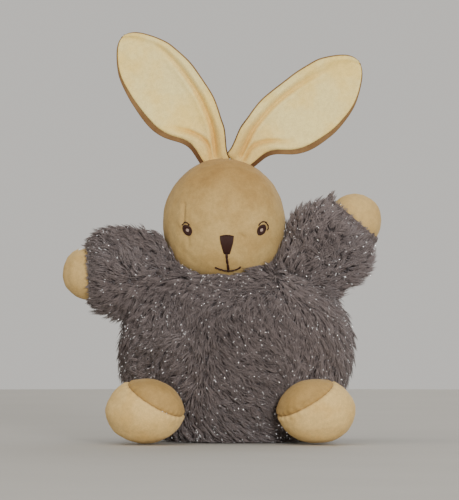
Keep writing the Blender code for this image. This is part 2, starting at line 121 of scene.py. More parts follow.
def ballPatch(rings, around, low=0.0, high=math.pi):
    # alpha runs from low to high off the pole and beta goes round; a pole is one point with a fan
    rows = np.linspace(low, high, rings + 1)
    rows = rows[1:] if low == 0 else rows
    rows = rows[:-1] if high == math.pi else rows
    alpha, beta = pairGrid(rows, roundTurns(around))
    quads = gridFaces(len(rows), around, closed=True)
    tris, ring, last = [], np.arange(around), (len(rows) - 1) * around
    if low == 0:
        tris.append(np.stack([np.full(around, len(alpha)), ring, (ring + 1) % around], -1))
        alpha, beta = np.append(alpha, 0.0), np.append(beta, 0.0)
    if high == math.pi:
        tris.append(np.stack([last + ring, np.full(around, len(alpha)), last + (ring + 1) % around], -1))
        alpha, beta = np.append(alpha, math.pi), np.append(beta, 0.0)
    return alpha, beta, [quads] + ([np.concatenate(tris)] if tris else [])


def directions(alpha, beta, axis):
    # sin a (cos b e1 + sin b e2) + cos a w
    e1, e2, w = basis(axis)
    out = np.cos(beta)[:, None] * e1 + np.sin(beta)[:, None] * e2
    return np.sin(alpha)[:, None] * out + np.cos(alpha)[:, None] * w


def waves(points, size, seed, count=7):
    # a smooth random number from about -1 to 1: a sum of sines of random direction, about size long
    rng = np.random.default_rng(seed)
    k = unit(rng.normal(size=(count, 3))) * (2 * np.pi / (size * rng.uniform(0.7, 1.5, (count, 1))))
    return np.sin(points @ k.T + rng.uniform(0, 2 * np.pi, count)).sum(-1) / math.sqrt(count)


def waveVectors(points, size, seed):
    return np.stack([waves(points, size, seed + n) for n in range(3)], -1)


def bump(distance, width):
    # 1 at no distance, falling off like a bell
    return np.exp(-((distance / width) ** 2))


def toLine(points, line):
    # the distance of each point from a run of straight pieces, and how far along it the nearest place is
    line = np.asarray(line, float)
    a, b = line[:-1], line[1:]
    ab = b - a
    t = np.clip(((points[:, None] - a) * ab).sum(-1) / (ab**2).sum(-1), 0, 1)
    gap = np.linalg.norm(points[:, None] - (a + t[..., None] * ab), axis=-1)
    best = gap.argmin(1)
    reach = np.append(0, np.cumsum(np.linalg.norm(ab, axis=-1)))
    rows = np.arange(len(points))
    return gap[rows, best], (reach[best] + t[rows, best] * np.diff(reach)[best]) / reach[-1]


def smoothLine(line, count):
    # a Catmull-Rom curve through the points
    p = np.asarray(line, float)
    p = np.concatenate([[2 * p[0] - p[1]], p, [2 * p[-1] - p[-2]]])
    s = np.linspace(0, len(line) - 1 - 1e-9, count)
    i, t = s.astype(int), (s % 1)[:, None]
    a, b, c, d = p[i], p[i + 1], p[i + 2], p[i + 3]
    return 0.5 * (2 * b + (c - a) * t + (2 * a - 5 * b + 4 * c - d) * t**2 + (3 * b - a - 3 * c + d) * t**3)


def thicken(obj, wall):
    # the wall grows inwards, so the outside keeps its place
    solid = obj.modifiers.new("cloth", "SOLIDIFY")
    solid.thickness = wall
    solid.offset = -1
    return obj


# stuffing: a coarse copy is blown up as cloth, pinned along its seams, and its swell is read back

def stuffedSwell(name, centre, half, seamGap, puff):
    # voxel remesh, twenty frames of cloth under pressure; the swell is each point's distance over its start's
    alpha, beta, faces = ballPatch(24, 40)
    around = directions(alpha, beta, (0, 0, 1))
    obj = putMesh(name, centre + around * half, faces)
    remesh = obj.modifiers.new("remesh", "REMESH")
    remesh.mode = "VOXEL"
    remesh.voxel_size = puff["voxel"]
    coarse = bpy.data.meshes.new_from_object(obj.evaluated_get(bpy.context.evaluated_depsgraph_get()))
    obj.modifiers.clear()
    obj.data = coarse
    rest = readPoints(coarse)
    after = rest
    held = obj.vertex_groups.new(name="seams")
    held.add(np.nonzero(seamGap(rest) < puff["voxel"] * 0.6)[0].tolist(), 1.0, "REPLACE")
    cloth = obj.modifiers.new("stuffing", "CLOTH")
    cloth.settings.vertex_group_mass = "seams"
    cloth.settings.use_pressure = True
    cloth.settings.uniform_pressure_force = puff["pressure"]
    cloth.settings.effector_weights.gravity = 0
    for step in range(1, 21):
        bpy.context.scene.frame_set(step)
    done = obj.evaluated_get(bpy.context.evaluated_depsgraph_get())
    after = readPoints(done.data)
    obj.modifiers.clear()
    bpy.context.scene.frame_set(1)
    moved = after - rest
    size = np.linalg.norm(moved, axis=1, keepdims=True)
    after = rest + moved * np.minimum(1, puff["cap"] / np.maximum(size, 1e-9))
    bpy.data.objects.remove(obj)
    rel, relRest = (after - centre) / half, (rest - centre) / half
    lifted = np.linalg.norm(rel, axis=1) - np.linalg.norm(relRest, axis=1)
    reach = np.array((lifted.min(), lifted.max())) * half.mean() * 1000
    print("stuffed", name, "swell mm", np.round(reach, 2))
    return unit(rel), lifted


def swellAt(swell, around, blur=0.10):
    # the swell round a direction, averaged with a soft edge of about blur radians
    where, lifted = swell
    out = np.empty(len(around))
    for start in range(0, len(around), 4000):
        w = np.exp((around[start:start + 4000] @ where.T - 1) / blur**2)
        out[start:start + 4000] = (w @ lifted) / np.maximum(w.sum(1), 1e-9)
    return out


# finishes

def newMaterial(name):
    made = bpy.data.materials.new(name)
    made.use_nodes = True
    return made, made.node_tree.nodes, made.node_tree.links, made.node_tree.nodes["Principled BSDF"]


def groupWith(name, inputs, outputs):
    tree = bpy.data.node_groups.new(name, "ShaderNodeTree")
    for label, kind, value in inputs:
        tree.interface.new_socket(label, in_out="INPUT", socket_type=kind).default_value = value
    for label, kind in outputs:
        tree.interface.new_socket(label, in_out="OUTPUT", socket_type=kind)
    return tree, tree.nodes.new("NodeGroupInput"), tree.nodes.new("NodeGroupOutput")


def noiseNode(nodes, links, coords, scale, detail, rough=0.5):
    node = nodes.new("ShaderNodeTexNoise")
    node.inputs["Detail"].default_value = detail
    node.inputs["Roughness"].default_value = rough
    links.new(coords, node.inputs["Vector"])
    if isinstance(scale, (int, float)):
        node.inputs["Scale"].default_value = scale
    else:
        links.new(scale, node.inputs["Scale"])
    return node.outputs["Fac"]


def rangeNode(nodes, links, value, low, high, toLow=0.0, toHigh=1.0):
    node = nodes.new("ShaderNodeMapRange")
    node.interpolation_type = "SMOOTHSTEP"
    for label, number in (("From Min", low), ("From Max", high), ("To Min", toLow), ("To Max", toHigh)):
        node.inputs[label].default_value = number
    links.new(value, node.inputs["Value"])
    return node.outputs["Result"]


def mixNode(nodes, links, factor, a, b, blend="MIX"):
    node = nodes.new("ShaderNodeMix")
    node.data_type = "RGBA"
    node.blend_type = blend
    for label, value in (("Factor_Float", factor), ("A_Color", a), ("B_Color", b)):
        socket = next(s for s in node.inputs if s.identifier == label)
        if hasattr(value, "is_output"):
            links.new(value, socket)
        else:
            socket.default_value = value
    return next(s for s in node.outputs if s.identifier == "Result_Color")


def mathNode(nodes, links, operation, a, b):
    node = nodes.new("ShaderNodeMath")
    node.operation = operation
    for socket, value in zip(node.inputs, (a, b)):
        if hasattr(value, "is_output"):
            links.new(value, socket)
        else:
            socket.default_value = value
    return node.outputs[0]


def makeNap():
    # pile cloth: broad rubbed patches, small flecks of pile, and a fine height for the bump
    tree, given, made = groupWith(
        "pileNap",
        [("Brushed", "NodeSocketColor", (1, 1, 1, 1)), ("Rubbed", "NodeSocketColor", (0.5, 0.5, 0.5, 1)),
         ("Patch Scale", "NodeSocketFloat", 55.0), ("Pile Scale", "NodeSocketFloat", 1500.0)],
        [("Color", "NodeSocketColor"), ("Roughness", "NodeSocketFloat"), ("Height", "NodeSocketFloat")])
    nodes, links = tree.nodes, tree.links
    coords = nodes.new("ShaderNodeTexCoord").outputs["Object"]
    patch = noiseNode(nodes, links, coords, given.outputs["Patch Scale"], 3, 0.55)
    patch = rangeNode(nodes, links, patch, 0.40, 0.66)
    pile = noiseNode(nodes, links, coords, given.outputs["Pile Scale"], 3, 0.65)
    streak = noiseNode(nodes, links, coords, 420.0, 2)
    colour = mixNode(nodes, links, patch, given.outputs["Brushed"], given.outputs["Rubbed"])
    shade = rangeNode(nodes, links, pile, 0.30, 0.70, 0.90, 1.06)
    soft = rangeNode(nodes, links, streak, 0.30, 0.70, 0.94, 1.05)
    shade = mathNode(nodes, links, "MULTIPLY", shade, soft)
    grey = nodes.new("ShaderNodeCombineColor")
    for socket in grey.inputs:
        if socket.name in ("Red", "Green", "Blue"):
            links.new(shade, socket)
    colour = mixNode(nodes, links, 1.0, colour, grey.outputs[0], "MULTIPLY")
    links.new(colour, made.inputs["Color"])
    links.new(rangeNode(nodes, links, pile, 0.3, 0.7, 0.82, 0.98), made.inputs["Roughness"])
    height = mathNode(nodes, links, "ADD", pile, mathNode(nodes, links, "MULTIPLY", streak, 0.6))
    links.new(height, made.inputs["Height"])
    return tree


pileNap = makeNap()


def napNode(nodes, look):
    node = nodes.new("ShaderNodeGroup")
    node.node_tree = pileNap
    node.inputs["Brushed"].default_value = (*look["brushed"], 1)
    node.inputs["Rubbed"].default_value = (*look["rubbed"], 1)
    node.inputs["Patch Scale"].default_value = look.get("patch", 55.0)
    node.inputs["Pile Scale"].default_value = look.get("pile", 1500.0)
    return node


def velour(name, look, zone=None):
    # zone deepens the colour by height, or by the "along" map's first number
    made, nodes, links, shader = newMaterial(name)
    nap = napNode(nodes, look)
    colour = nap.outputs["Color"]
    if zone:
        if zone["by"] == "height":
            place = nodes.new("ShaderNodeTexCoord").outputs["Object"]
        else:
            layer = nodes.new("ShaderNodeUVMap")
            layer.uv_map = "along"
            place = layer.outputs["UV"]
        split = nodes.new("ShaderNodeSeparateXYZ")
        links.new(place, split.inputs[0])
        value = split.outputs["Z" if zone["by"] == "height" else "X"]
        coords = nodes.new("ShaderNodeTexCoord").outputs["Object"]
        drift = noiseNode(nodes, links, coords, zone["driftScale"], 2)
        value = mathNode(nodes, links, "ADD", value, mathNode(nodes, links, "MULTIPLY", drift, zone["drift"]))
        mask = rangeNode(nodes, links, value, zone["from"], zone["to"], 0.0, zone["strength"])
        colour = mixNode(nodes, links, mask, colour, (*zone["colour"], 1), "MULTIPLY")
    # the crease colour is painted shade in the ear's folds
    if "crease" in look:  # the "fold" map's first number is 1 down in a fold
        layer, split = nodes.new("ShaderNodeUVMap"), nodes.new("ShaderNodeSeparateXYZ")
        layer.uv_map = "fold"
        links.new(layer.outputs["UV"], split.inputs[0])
        colour = mixNode(nodes, links, split.outputs["X"], colour, (*look["crease"], 1), "MULTIPLY")
    links.new(colour, shader.inputs["Base Color"])
    links.new(nap.outputs["Roughness"], shader.inputs["Roughness"])
    shader.inputs["Sheen Weight"].default_value = look.get("sheen", 0.30)
    shader.inputs["Sheen Roughness"].default_value = 0.45
    shader.inputs["Sheen Tint"].default_value = (*look["sheenTint"], 1)
    shader.inputs["Specular IOR Level"].default_value = 0.25
    relief = nodes.new("ShaderNodeBump")
    relief.inputs["Strength"].default_value = look.get("relief", 0.35)
    relief.inputs["Distance"].default_value = 0.0004
    links.new(nap.outputs["Height"], relief.inputs["Height"])
    links.new(relief.outputs["Normal"], shader.inputs["Normal"])
    return made


tanLook = {"brushed": (0.570, 0.385, 0.145), "rubbed": (0.490, 0.315, 0.110),
           "sheenTint": (1.0, 0.88, 0.66), "sheen": 0.14}
paleLook = {"brushed": (0.760, 0.520, 0.200), "rubbed": (0.690, 0.450, 0.155),
            "sheenTint": (1.0, 0.90, 0.70), "sheen": 0.14}
topLook = {"brushed": (0.450, 0.280, 0.095), "rubbed": (0.370, 0.225, 0.070),
           "sheenTint": (1.0, 0.86, 0.62), "sheen": 0.12}
handLook = {"brushed": (0.640, 0.430, 0.165), "rubbed": (0.560, 0.360, 0.125),
            "sheenTint": (1.0, 0.90, 0.70), "sheen": 0.12}
# creamLook's crease colour is painted shade, multiplied in down the ear's folds
creamLook = {"brushed": (0.950, 0.770, 0.320), "rubbed": (0.950, 0.700, 0.220),
             "sheenTint": (1.0, 0.92, 0.70), "sheen": 0.06, "patch": 38.0, "crease": (0.86, 0.76, 0.62)}
# the ear back's own brown, darkened further by painted shade
backBrownAndShade = {"brushed": (0.250, 0.140, 0.055), "rubbed": (0.200, 0.105, 0.040),
            "sheenTint": (0.9, 0.72, 0.5), "sheen": 0.12}
groundLook = {"brushed": (0.135, 0.105, 0.098), "rubbed": (0.102, 0.079, 0.074),
              "sheenTint": (0.6, 0.55, 0.52), "patch": 160.0, "pile": 900.0, "relief": 0.9}
fibreLook = {"brushed": (0.80, 0.79, 0.75), "rubbed": (0.70, 0.69, 0.66),
             "sheenTint": (1, 1, 1), "patch": 220.0, "pile": 700.0, "relief": 1.0}
cottonLook = {"brushed": (0.78, 0.77, 0.73), "rubbed": (0.70, 0.69, 0.65),
              "sheenTint": (1, 1, 1), "patch": 120.0}
crownZone = {"by": "height", "from": 0.144, "to": 0.176, "drift": 0.022, "driftScale": 45.0,
             "strength": 1.0, "colour": (0.74, 0.66, 0.56)}
stemZone = {"by": "along", "from": 0.34, "to": 0.02, "drift": 0.10, "driftScale": 60.0,
            "strength": 0.9, "colour": (0.84, 0.72, 0.56)}
# painted shade on the ear's back, deepening towards the stem
stemBackShade = {"by": "along", "from": 0.24, "to": 0.06, "drift": 0.04, "driftScale": 60.0,
                "strength": 0.9, "colour": (0.42, 0.32, 0.26)}

headVelour = velour("headVelour", tanLook, crownZone)
handVelour = velour("handVelour", handLook)
soleVelour = velour("soleVelour", paleLook)
upperVelour = velour("upperVelour", topLook)
earCream = velour("earCream", creamLook, stemZone)
earTan = velour("earTan", backBrownAndShade, stemBackShade)
furGround = velour("furGround", groundLook)
fibreFill = velour("fibreFill", fibreLook)
pouchCotton = velour("pouchCotton", cottonLook)


def makeThread(name, colour):
    # floss: fine twisted ridges and small shifts of tone
    made, nodes, links, shader = newMaterial(name)
    coords = nodes.new("ShaderNodeTexCoord").outputs["Object"]
    ply = noiseNode(nodes, links, coords, 2600.0, 2)
    links.new(mixNode(nodes, links, ply, (*[c * 0.65 for c in colour], 1), (*[c * 1.5 for c in colour], 1)),
              shader.inputs["Base Color"])
    links.new(rangeNode(nodes, links, ply, 0.3, 0.7, 0.42, 0.62), shader.inputs["Roughness"])
    shader.inputs["Sheen Weight"].default_value = 0.05
    shader.inputs["Specular IOR Level"].default_value = 0.30
    relief = nodes.new("ShaderNodeBump")
    relief.inputs["Strength"].default_value = 0.4
    relief.inputs["Distance"].default_value = 0.0001
    links.new(ply, relief.inputs["Height"])
    links.new(relief.outputs["Normal"], shader.inputs["Normal"])
    return made


brownFloss = makeThread("brownFloss", (0.030, 0.0070, 0.0035))
paleFloss = makeThread("paleFloss", (0.42, 0.30, 0.24))


def makePellets():
    # heaped beads: a pattern of round cells, with painted light in their middles and painted shade between
    # them
    made, nodes, links, shader = newMaterial("pelletHeap")
    cells = nodes.new("ShaderNodeTexVoronoi")
    cells.inputs["Scale"].default_value = 330.0
    links.new(nodes.new("ShaderNodeTexCoord").outputs["Object"], cells.inputs["Vector"])
    links.new(mixNode(nodes, links, rangeNode(nodes, links, cells.outputs["Distance"], 0.1, 0.8),
                      (0.80, 0.80, 0.77, 1), (0.42, 0.42, 0.40, 1)), shader.inputs["Base Color"])
    shader.inputs["Roughness"].default_value = 0.35
    relief = nodes.new("ShaderNodeBump")
    relief.invert = True
    relief.inputs["Distance"].default_value = 0.0015
    links.new(cells.outputs["Distance"], relief.inputs["Height"])
    links.new(relief.outputs["Normal"], shader.inputs["Normal"])
    return made


def makeStrand(name, colour, rough=0.75, metal=0.0, sheen=0.25, paintedGlint=0.0):
    # one fibre colour: a fur mixes several of these, from root to tip and from clump to clump; the darker
    # roots are painted shade and the lighter tips painted light
    made, nodes, links, shader = newMaterial(name)
    shader.inputs["Base Color"].default_value = (*colour, 1)
    shader.inputs["Roughness"].default_value = rough
    shader.inputs["Metallic"].default_value = metal
    shader.inputs["Sheen Weight"].default_value = sheen
    shader.inputs["Sheen Roughness"].default_value = 0.4
    shader.inputs["Sheen Tint"].default_value = (0.85, 0.80, 0.82, 1)
    # painted glint: the fibre glows though it is no lamp
    if paintedGlint:
        shader.inputs["Emission Color"].default_value = (1.0, 0.99, 0.97, 1)
        shader.inputs["Emission Strength"].default_value = paintedGlint
    return made


# root, the tone of every fibre's base, is painted shade deep in the pile; each tip takes the next lighter
# tone, painted light
furTones = {"root": (0.098, 0.075, 0.072), "shade": (0.150, 0.117, 0.110), "mid": (0.184, 0.145, 0.136),
            "light": (0.217, 0.173, 0.162), "pale": (0.260, 0.211, 0.199)}
furSlots = [makeStrand("fur" + tone.capitalize(), colour) for tone, colour in furTones.items()]
# the silver tinsel's glow is a painted glint
furSlots.append(makeStrand("silverTinsel", (1.0, 1.0, 1.0), rough=0.15, metal=1.0, sheen=0.0, paintedGlint=0.50))
print("finishes ready")

# sizes shared by the pieces
body = {"centre": np.array((0.0035, 0.0, 0.058)), "half": np.array((0.0695, 0.0535)),
        "rise": 0.0550, "drop": 0.0660, "fullness": 0.85, "skinDepth": 0.0040,
        "seat": np.array((0.0345, 0.0265)), "seatTop": 0.0032, "hem": 0.0008}
head = {"centre": np.array((-0.0036, -0.0020, 0.1330)), "radius": 0.0373, "rise": 0.0388,
        "socket": 0.0016, "fullness": 0.68}
chinDip = {"centre": np.array((0.0004, -0.0180, 0.1375)), "half": np.array((0.0208, 0.0330, 0.0408))}
hand = {"reach": 0.0346, "radius": 0.0166}
# rise is in degrees; full, the extra width on the headward side, and root, the radius in the shoulder, are
# (along the arm, width) pairs; slim thins the far side's pile and lap lays the near side's over the hand
arms = {"right": {"pivot": np.array((-0.0505, -0.0030, 0.1035)), "rise": -2.0, "slim": 0.2, "lap": 0.0,
                  "full": [(-0.0225, 0.0), (-0.0100, 0.0016), (0.0150, 0.0010), (0.0345, 0.0)],
                  "root": [(-0.0250, 0.0050), (-0.0185, 0.0102), (-0.0140, 0.0142), (-0.0095, 0.0160),
                           (-0.0060, 0.0163)]},
        "left": {"pivot": np.array((0.0530, -0.0030, 0.1080)), "rise": 49.0, "slim": 1.0, "lap": 1.0,
                 "full": [(-0.0220, 0.0035), (0.0, 0.0045), (0.0090, 0.0042), (0.0160, 0.0024),
                          (0.0220, 0.0012), (0.0270, 0.0024), (0.0345, 0.0030)],
                 "root": [(-0.0220, 0.0130), (-0.0160, 0.0172), (-0.0060, 0.0182)]}}
feet = {"right": {"centre": np.array((-0.0508, -0.0530, 0.0199))},
        "left": {"centre": np.array((0.0516, -0.0530, 0.0200))}}
footHalf, footMean, ankleBack = np.array((0.0239, 0.0226, 0.0198)), 0.0215, 0.0150
footLifts = (0, 9, 18, 27, 35)  # degrees, from rest to the top of the leg's swing
pileGap = 0.0006  # the fur stays this far off the velour
goldenAngle = 2.39996323  # radians; points turned by it never line up
sleeveAlong = np.array((-0.0100, -0.0062, 0.0, 0.0080, 0.0170, 0.0255, 0.0320, 0.0350))
sleeveRadius = np.array((0.0128, 0.0180, 0.0222, 0.0252, 0.0266, 0.0250, 0.0216, 0.0192))
sides = {"right": -1, "left": 1}
for side, arm in arms.items():
    lean = math.radians(arm["rise"])
    arm["axis"] = np.array((sides[side] * math.cos(lean), 0.0, math.sin(lean)))
    arm["headward"] = np.array((-sides[side] * math.sin(lean), 0.0, math.cos(lean)))
    arm["hand"] = arm["pivot"] + arm["axis"] * hand["reach"]


def outOfBall(points, centre, half):
    # anything inside the stretched ball goes out to its face, straight from its centre
    rel = (points - centre) / half
    size = np.linalg.norm(rel, axis=-1, keepdims=True)
    return np.where(size < 1, centre + rel / np.maximum(size, 1e-6) * half, points)


def jowl(up):
    # how much wider the head is than a ball, at a height from -1 to 1 off its middle
    return np.where(up < 0, np.clip(1 - up**2, 0.12, 1) ** ((head["fullness"] - 1) / 2), 1.0)


def outOfHead(points, gap):
    # anything inside the head, grown by gap, goes out to its face
    up = points[..., 2:] - head["centre"][2]
    tall = np.where(up > 0, head["rise"], head["radius"]) + gap
    wide = (head["radius"] + gap) * jowl(up / tall)
    return outOfBall(points, head["centre"], np.concatenate([wide, wide, tall], -1))


def outOfFeet(points, gap, lifts=(0,)):
    # the same for the feet, each turned at its ankle by every lift
    for foot in feet.values():
        pivot = foot["centre"] + (0, ankleBack, 0)
        for lift in lifts:
            c, s = math.cos(math.radians(lift)), math.sin(math.radians(lift))
            turn = np.array(((1, 0, 0), (0, c, s), (0, -s, c)))  # about -X: the toes go up
            level = (points - pivot) @ turn.T + pivot
            points = (outOfBall(level, foot["centre"], footHalf + gap) - pivot) @ turn + pivot
    return points


# body skin: the cloth that the pile stands on

def bodySurface(around, depth):
    # a ball whose middle is swollen: (x, y) grows by its own length to the power fullness - 1
    out = np.maximum(np.hypot(around[:, 0], around[:, 1]), 1e-6)
    flat = around[:, :2] * (out ** (body["fullness"] - 1))[:, None] * (body["half"] - depth)
    tall = around[:, 2] * np.where(around[:, 2] > 0, body["rise"] - depth, body["drop"] - depth)
    return body["centre"] + np.concatenate([flat, tall[:, None]], 1)


def bodySkin(around):
    # the ball, a little uneven, pressed in by the head, the feet's swing and the floor
    points = bodySurface(around, body["skinDepth"])
    points += unit(points - body["centre"]) * (waves(points, 0.030, 5) * 0.0006)[:, None]
    points = outOfHead(outOfBall(points, chinDip["centre"], chinDip["half"]), head["socket"])
    points = outOfFeet(points, 0.0010, footLifts)
    overSeat = (((points[:, :2] - body["centre"][:2]) / body["seat"]) ** 2).sum(1) < 1
    points[:, 2] = np.maximum(points[:, 2], np.where(overSeat, body["seatTop"], body["hem"]))
    return points


def makeBodySkin():
    for name, low, high, node in (("bodyFrontCloth", 0.0, math.pi / 2, "body_front_panel"),
                                  ("bodyBackCloth", math.pi / 2, math.pi, "body_back_panel")):
        alpha, beta, faces = ballPatch(40, 120, low, high)
        skin = putMesh(name, bodySkin(directions(alpha, beta, (0, -1, 0))), faces, [furGround])
        thicken(skin, 0.0010)
        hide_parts(node)
        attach(skin, "torso")


makeBodySkin()
print("body cloth sewn")


# fur: clumps of fine tapered fibres, each a three-sided spike that bends over

lockLook = {"perClump": 7, "spread": 0.0020, "length": 0.0102, "thick": 0.00048, "rise": 0.66, "pull": 0.78,
            "wave": 0.0005, "droop": 0.10}


def furLocks(name, centres, normals, lay, look, seed, keepOut, tinsel=0, scale=1.0, stand=1.0):
    # fibre = root + length (rise(t) normal + lie(t) lay); clumping shrinks a fibre's offset as t grows
    rng = np.random.default_rng(seed)
    clumps, per = len(centres), look["perClump"]
    lay = unit(lay - normals * (lay * normals).sum(1, keepdims=True))
    cross = np.cross(normals, lay)
    veer = rng.normal(0, 0.42, clumps)[:, None]
    lay, cross = lay * np.cos(veer) + cross * np.sin(veer), cross * np.cos(veer) - lay * np.sin(veer)
    clumpLong = look["length"] * scale * rng.uniform(0.80, 1.22, clumps)
    clumpRise = look["rise"] * stand * rng.uniform(0.70, 1.35, clumps)
    clumpPhase, clumpWave = rng.uniform(0, 6.28, clumps), look["wave"] * rng.uniform(0.3, 1.5, clumps)
    clumpTone = 0.40 * waves(centres, 0.016, seed + 50) + rng.normal(0, 0.45, clumps)
    pick = np.repeat(np.arange(clumps), per)
    n, lieTo, side = normals[pick], lay[pick], cross[pick]
    count = len(pick)
    angle, radius = rng.uniform(0, 2 * np.pi, count), look["spread"] * np.sqrt(rng.uniform(0, 1, count))
    offset = radius[:, None] * (np.cos(angle)[:, None] * lieTo + np.sin(angle)[:, None] * side)
    stray = rng.normal(0, 0.16, count)[:, None]
    lieTo = unit(lieTo * np.cos(stray) + side * np.sin(stray))
    long = (clumpLong[pick] * rng.uniform(0.82, 1.10, count))[:, None, None]
    t = np.array((0.0, 0.36, 0.72, 1.0))[None, :, None]
    rise = clumpRise[pick][:, None, None] * (1.25 * t - 0.50 * t**2)
    lie = 0.30 * t + 0.55 * t**2
    sway = clumpWave[pick][:, None, None] * np.sin(5.0 * t + clumpPhase[pick][:, None, None]) * t
    line = (centres[pick][:, None] + offset[:, None] * (1 - look["pull"] * t**1.2) - n[:, None] * 0.0004
            + long * (rise * n[:, None] + lie * lieTo[:, None]) + sway * side[:, None])
    line[..., 2] -= (long * look["droop"] * t**2)[..., 0]
    line[:, 1:] = keepOut(line[:, 1:])
    line[..., 2] = np.maximum(line[..., 2], 0.0007)
    ahead = unit(np.diff(line, axis=1))
    across = unit(np.cross(ahead, n[:, None]) + 1e-9)
    up = np.cross(ahead, across)
    wide = look["thick"] / 2 * rng.uniform(0.8, 1.2, (count, 1)) * np.array((1.0, 1.05, 0.72))
    turn = np.arange(3) * 2 * np.pi / 3
    ring = (line[:, :3, None] + wide[..., None, None] * (np.cos(turn)[:, None] * across[:, :, None]
                                                         + np.sin(turn)[:, None] * up[:, :, None]))
    points = np.concatenate([ring.reshape(count, 9, 3), line[:, 3:4]], 1)
    j = np.arange(3)
    k = (j + 1) % 3
    quads = np.concatenate([np.stack([s + j, s + k, s + 3 + k, s + 3 + j], -1) for s in (0, 3)])
    tris = np.concatenate([[[0, 2, 1]], np.stack([6 + j, 6 + k, np.full(3, 9)], -1)])
    start = (np.arange(count) * 10)[:, None, None]
    tone = np.clip(np.round(2.1 + clumpTone[pick] + rng.normal(0, 0.55, count)), 1, 3).astype(int)
    # the base segment takes the root tone, painted shade, and the tip the next lighter tone, painted light
    quadTone = np.stack([np.zeros_like(tone)] * 3 + [tone] * 3, -1)
    triTone = np.stack([np.zeros_like(tone)] + [tone + 1] * 3, -1)
    quads, tris = (quads + start).reshape(-1, 4), (tris + start).reshape(-1, 3)
    points, slots = points.reshape(-1, 3), np.concatenate([quadTone.ravel(), triTone.ravel()])
    if tinsel:
        # short flat glints lying among the tips, in the tinsel finish whose glow is a painted glint
        which = rng.choice(count, tinsel, replace=False)
        along = unit(ahead[which, 2] + rng.normal(0, 0.5, (tinsel, 3)))
        flat = unit(np.cross(along, rng.normal(size=(tinsel, 3))))
        edge = np.cross(along, flat)
        at = line[which, 2] + n[which] * 0.0010
        half = (rng.uniform(0.00030, 0.00062, tinsel))[:, None]
        corner = [at + s * half * along + a * 0.00024 * flat + b * 0.00012 * edge
                  for s in (-1, 1) for a, b in ((-1, -0.6), (1, -0.6), (0, 1))]
        base = len(points) + (np.arange(tinsel) * 6)[:, None, None]
        quads = np.concatenate([quads, (np.stack([j, k, 3 + k, 3 + j], -1) + base).reshape(-1, 4)])
        tris = np.concatenate([tris, (np.array([[0, 2, 1], [3, 4, 5]]) + base).reshape(-1, 3)])
        points = np.concatenate([points, np.stack(corner, 1).reshape(-1, 3)])
        cut = quadTone.size
        slots = np.concatenate([slots[:cut], np.full(tinsel * 3, 5), slots[cut:], np.full(tinsel * 2, 5)])
        points[:, 2] = np.maximum(points[:, 2], 0.0004)
    print(name, "fibres", count, "triangles", len(quads) * 2 + len(tris))
    return putMesh(name, points, [quads, tris], furSlots, slots)


def spiralDirections(count, seed, jitter=0.35):
    # evenly spaced points of a ball by the golden angle, each shaken a little
    rng = np.random.default_rng(seed)
    i = np.arange(count) + 0.5
    z, turn = 1 - 2 * i / count, i * goldenAngle
    out = np.sqrt(1 - z**2)
    shake = rng.normal(0, jitter * math.sqrt(4 * math.pi / count), (count, 3))
    return unit(np.stack([out * np.cos(turn), out * np.sin(turn), z], -1) + shake)


def armPlace(points, arm):
    # how far along the arm's axis, and how far off it
    rel = points - arm["pivot"]
    along = rel @ arm["axis"]
    return along, np.linalg.norm(rel - along[:, None] * arm["axis"], axis=1)


def sleeveSkinRadius(along, arm):
    # under the pile; the root tapers into the shoulder, and the cuff clears the hand
    root = np.array(arm["root"])
    tube = np.interp(along, sleeveAlong, sleeveRadius) - 0.0040
    taper = np.interp(along, root[:, 0], root[:, 1])
    tube = np.where(along < root[-1, 0], taper, np.maximum(tube, root[-1, 1]))
    return np.maximum(tube, np.where(along > 0.026, 0.0172, 0.0))


def sleeveSkin(along, radial, arm):
    # round the arm's axis, fuller on the side that faces the head
    facing = (0.5 + 0.5 * radial @ arm["headward"]) ** 1.5
    radius = sleeveSkinRadius(along, arm) + facing * np.interp(along, *np.array(arm["full"]).T)
    return outOfHead(arm["pivot"] + along[:, None] * arm["axis"] + radius[:, None] * radial, head["socket"])


bodyPile = {"clumps": 8800, "tinsel": 300, "split": 0.074}


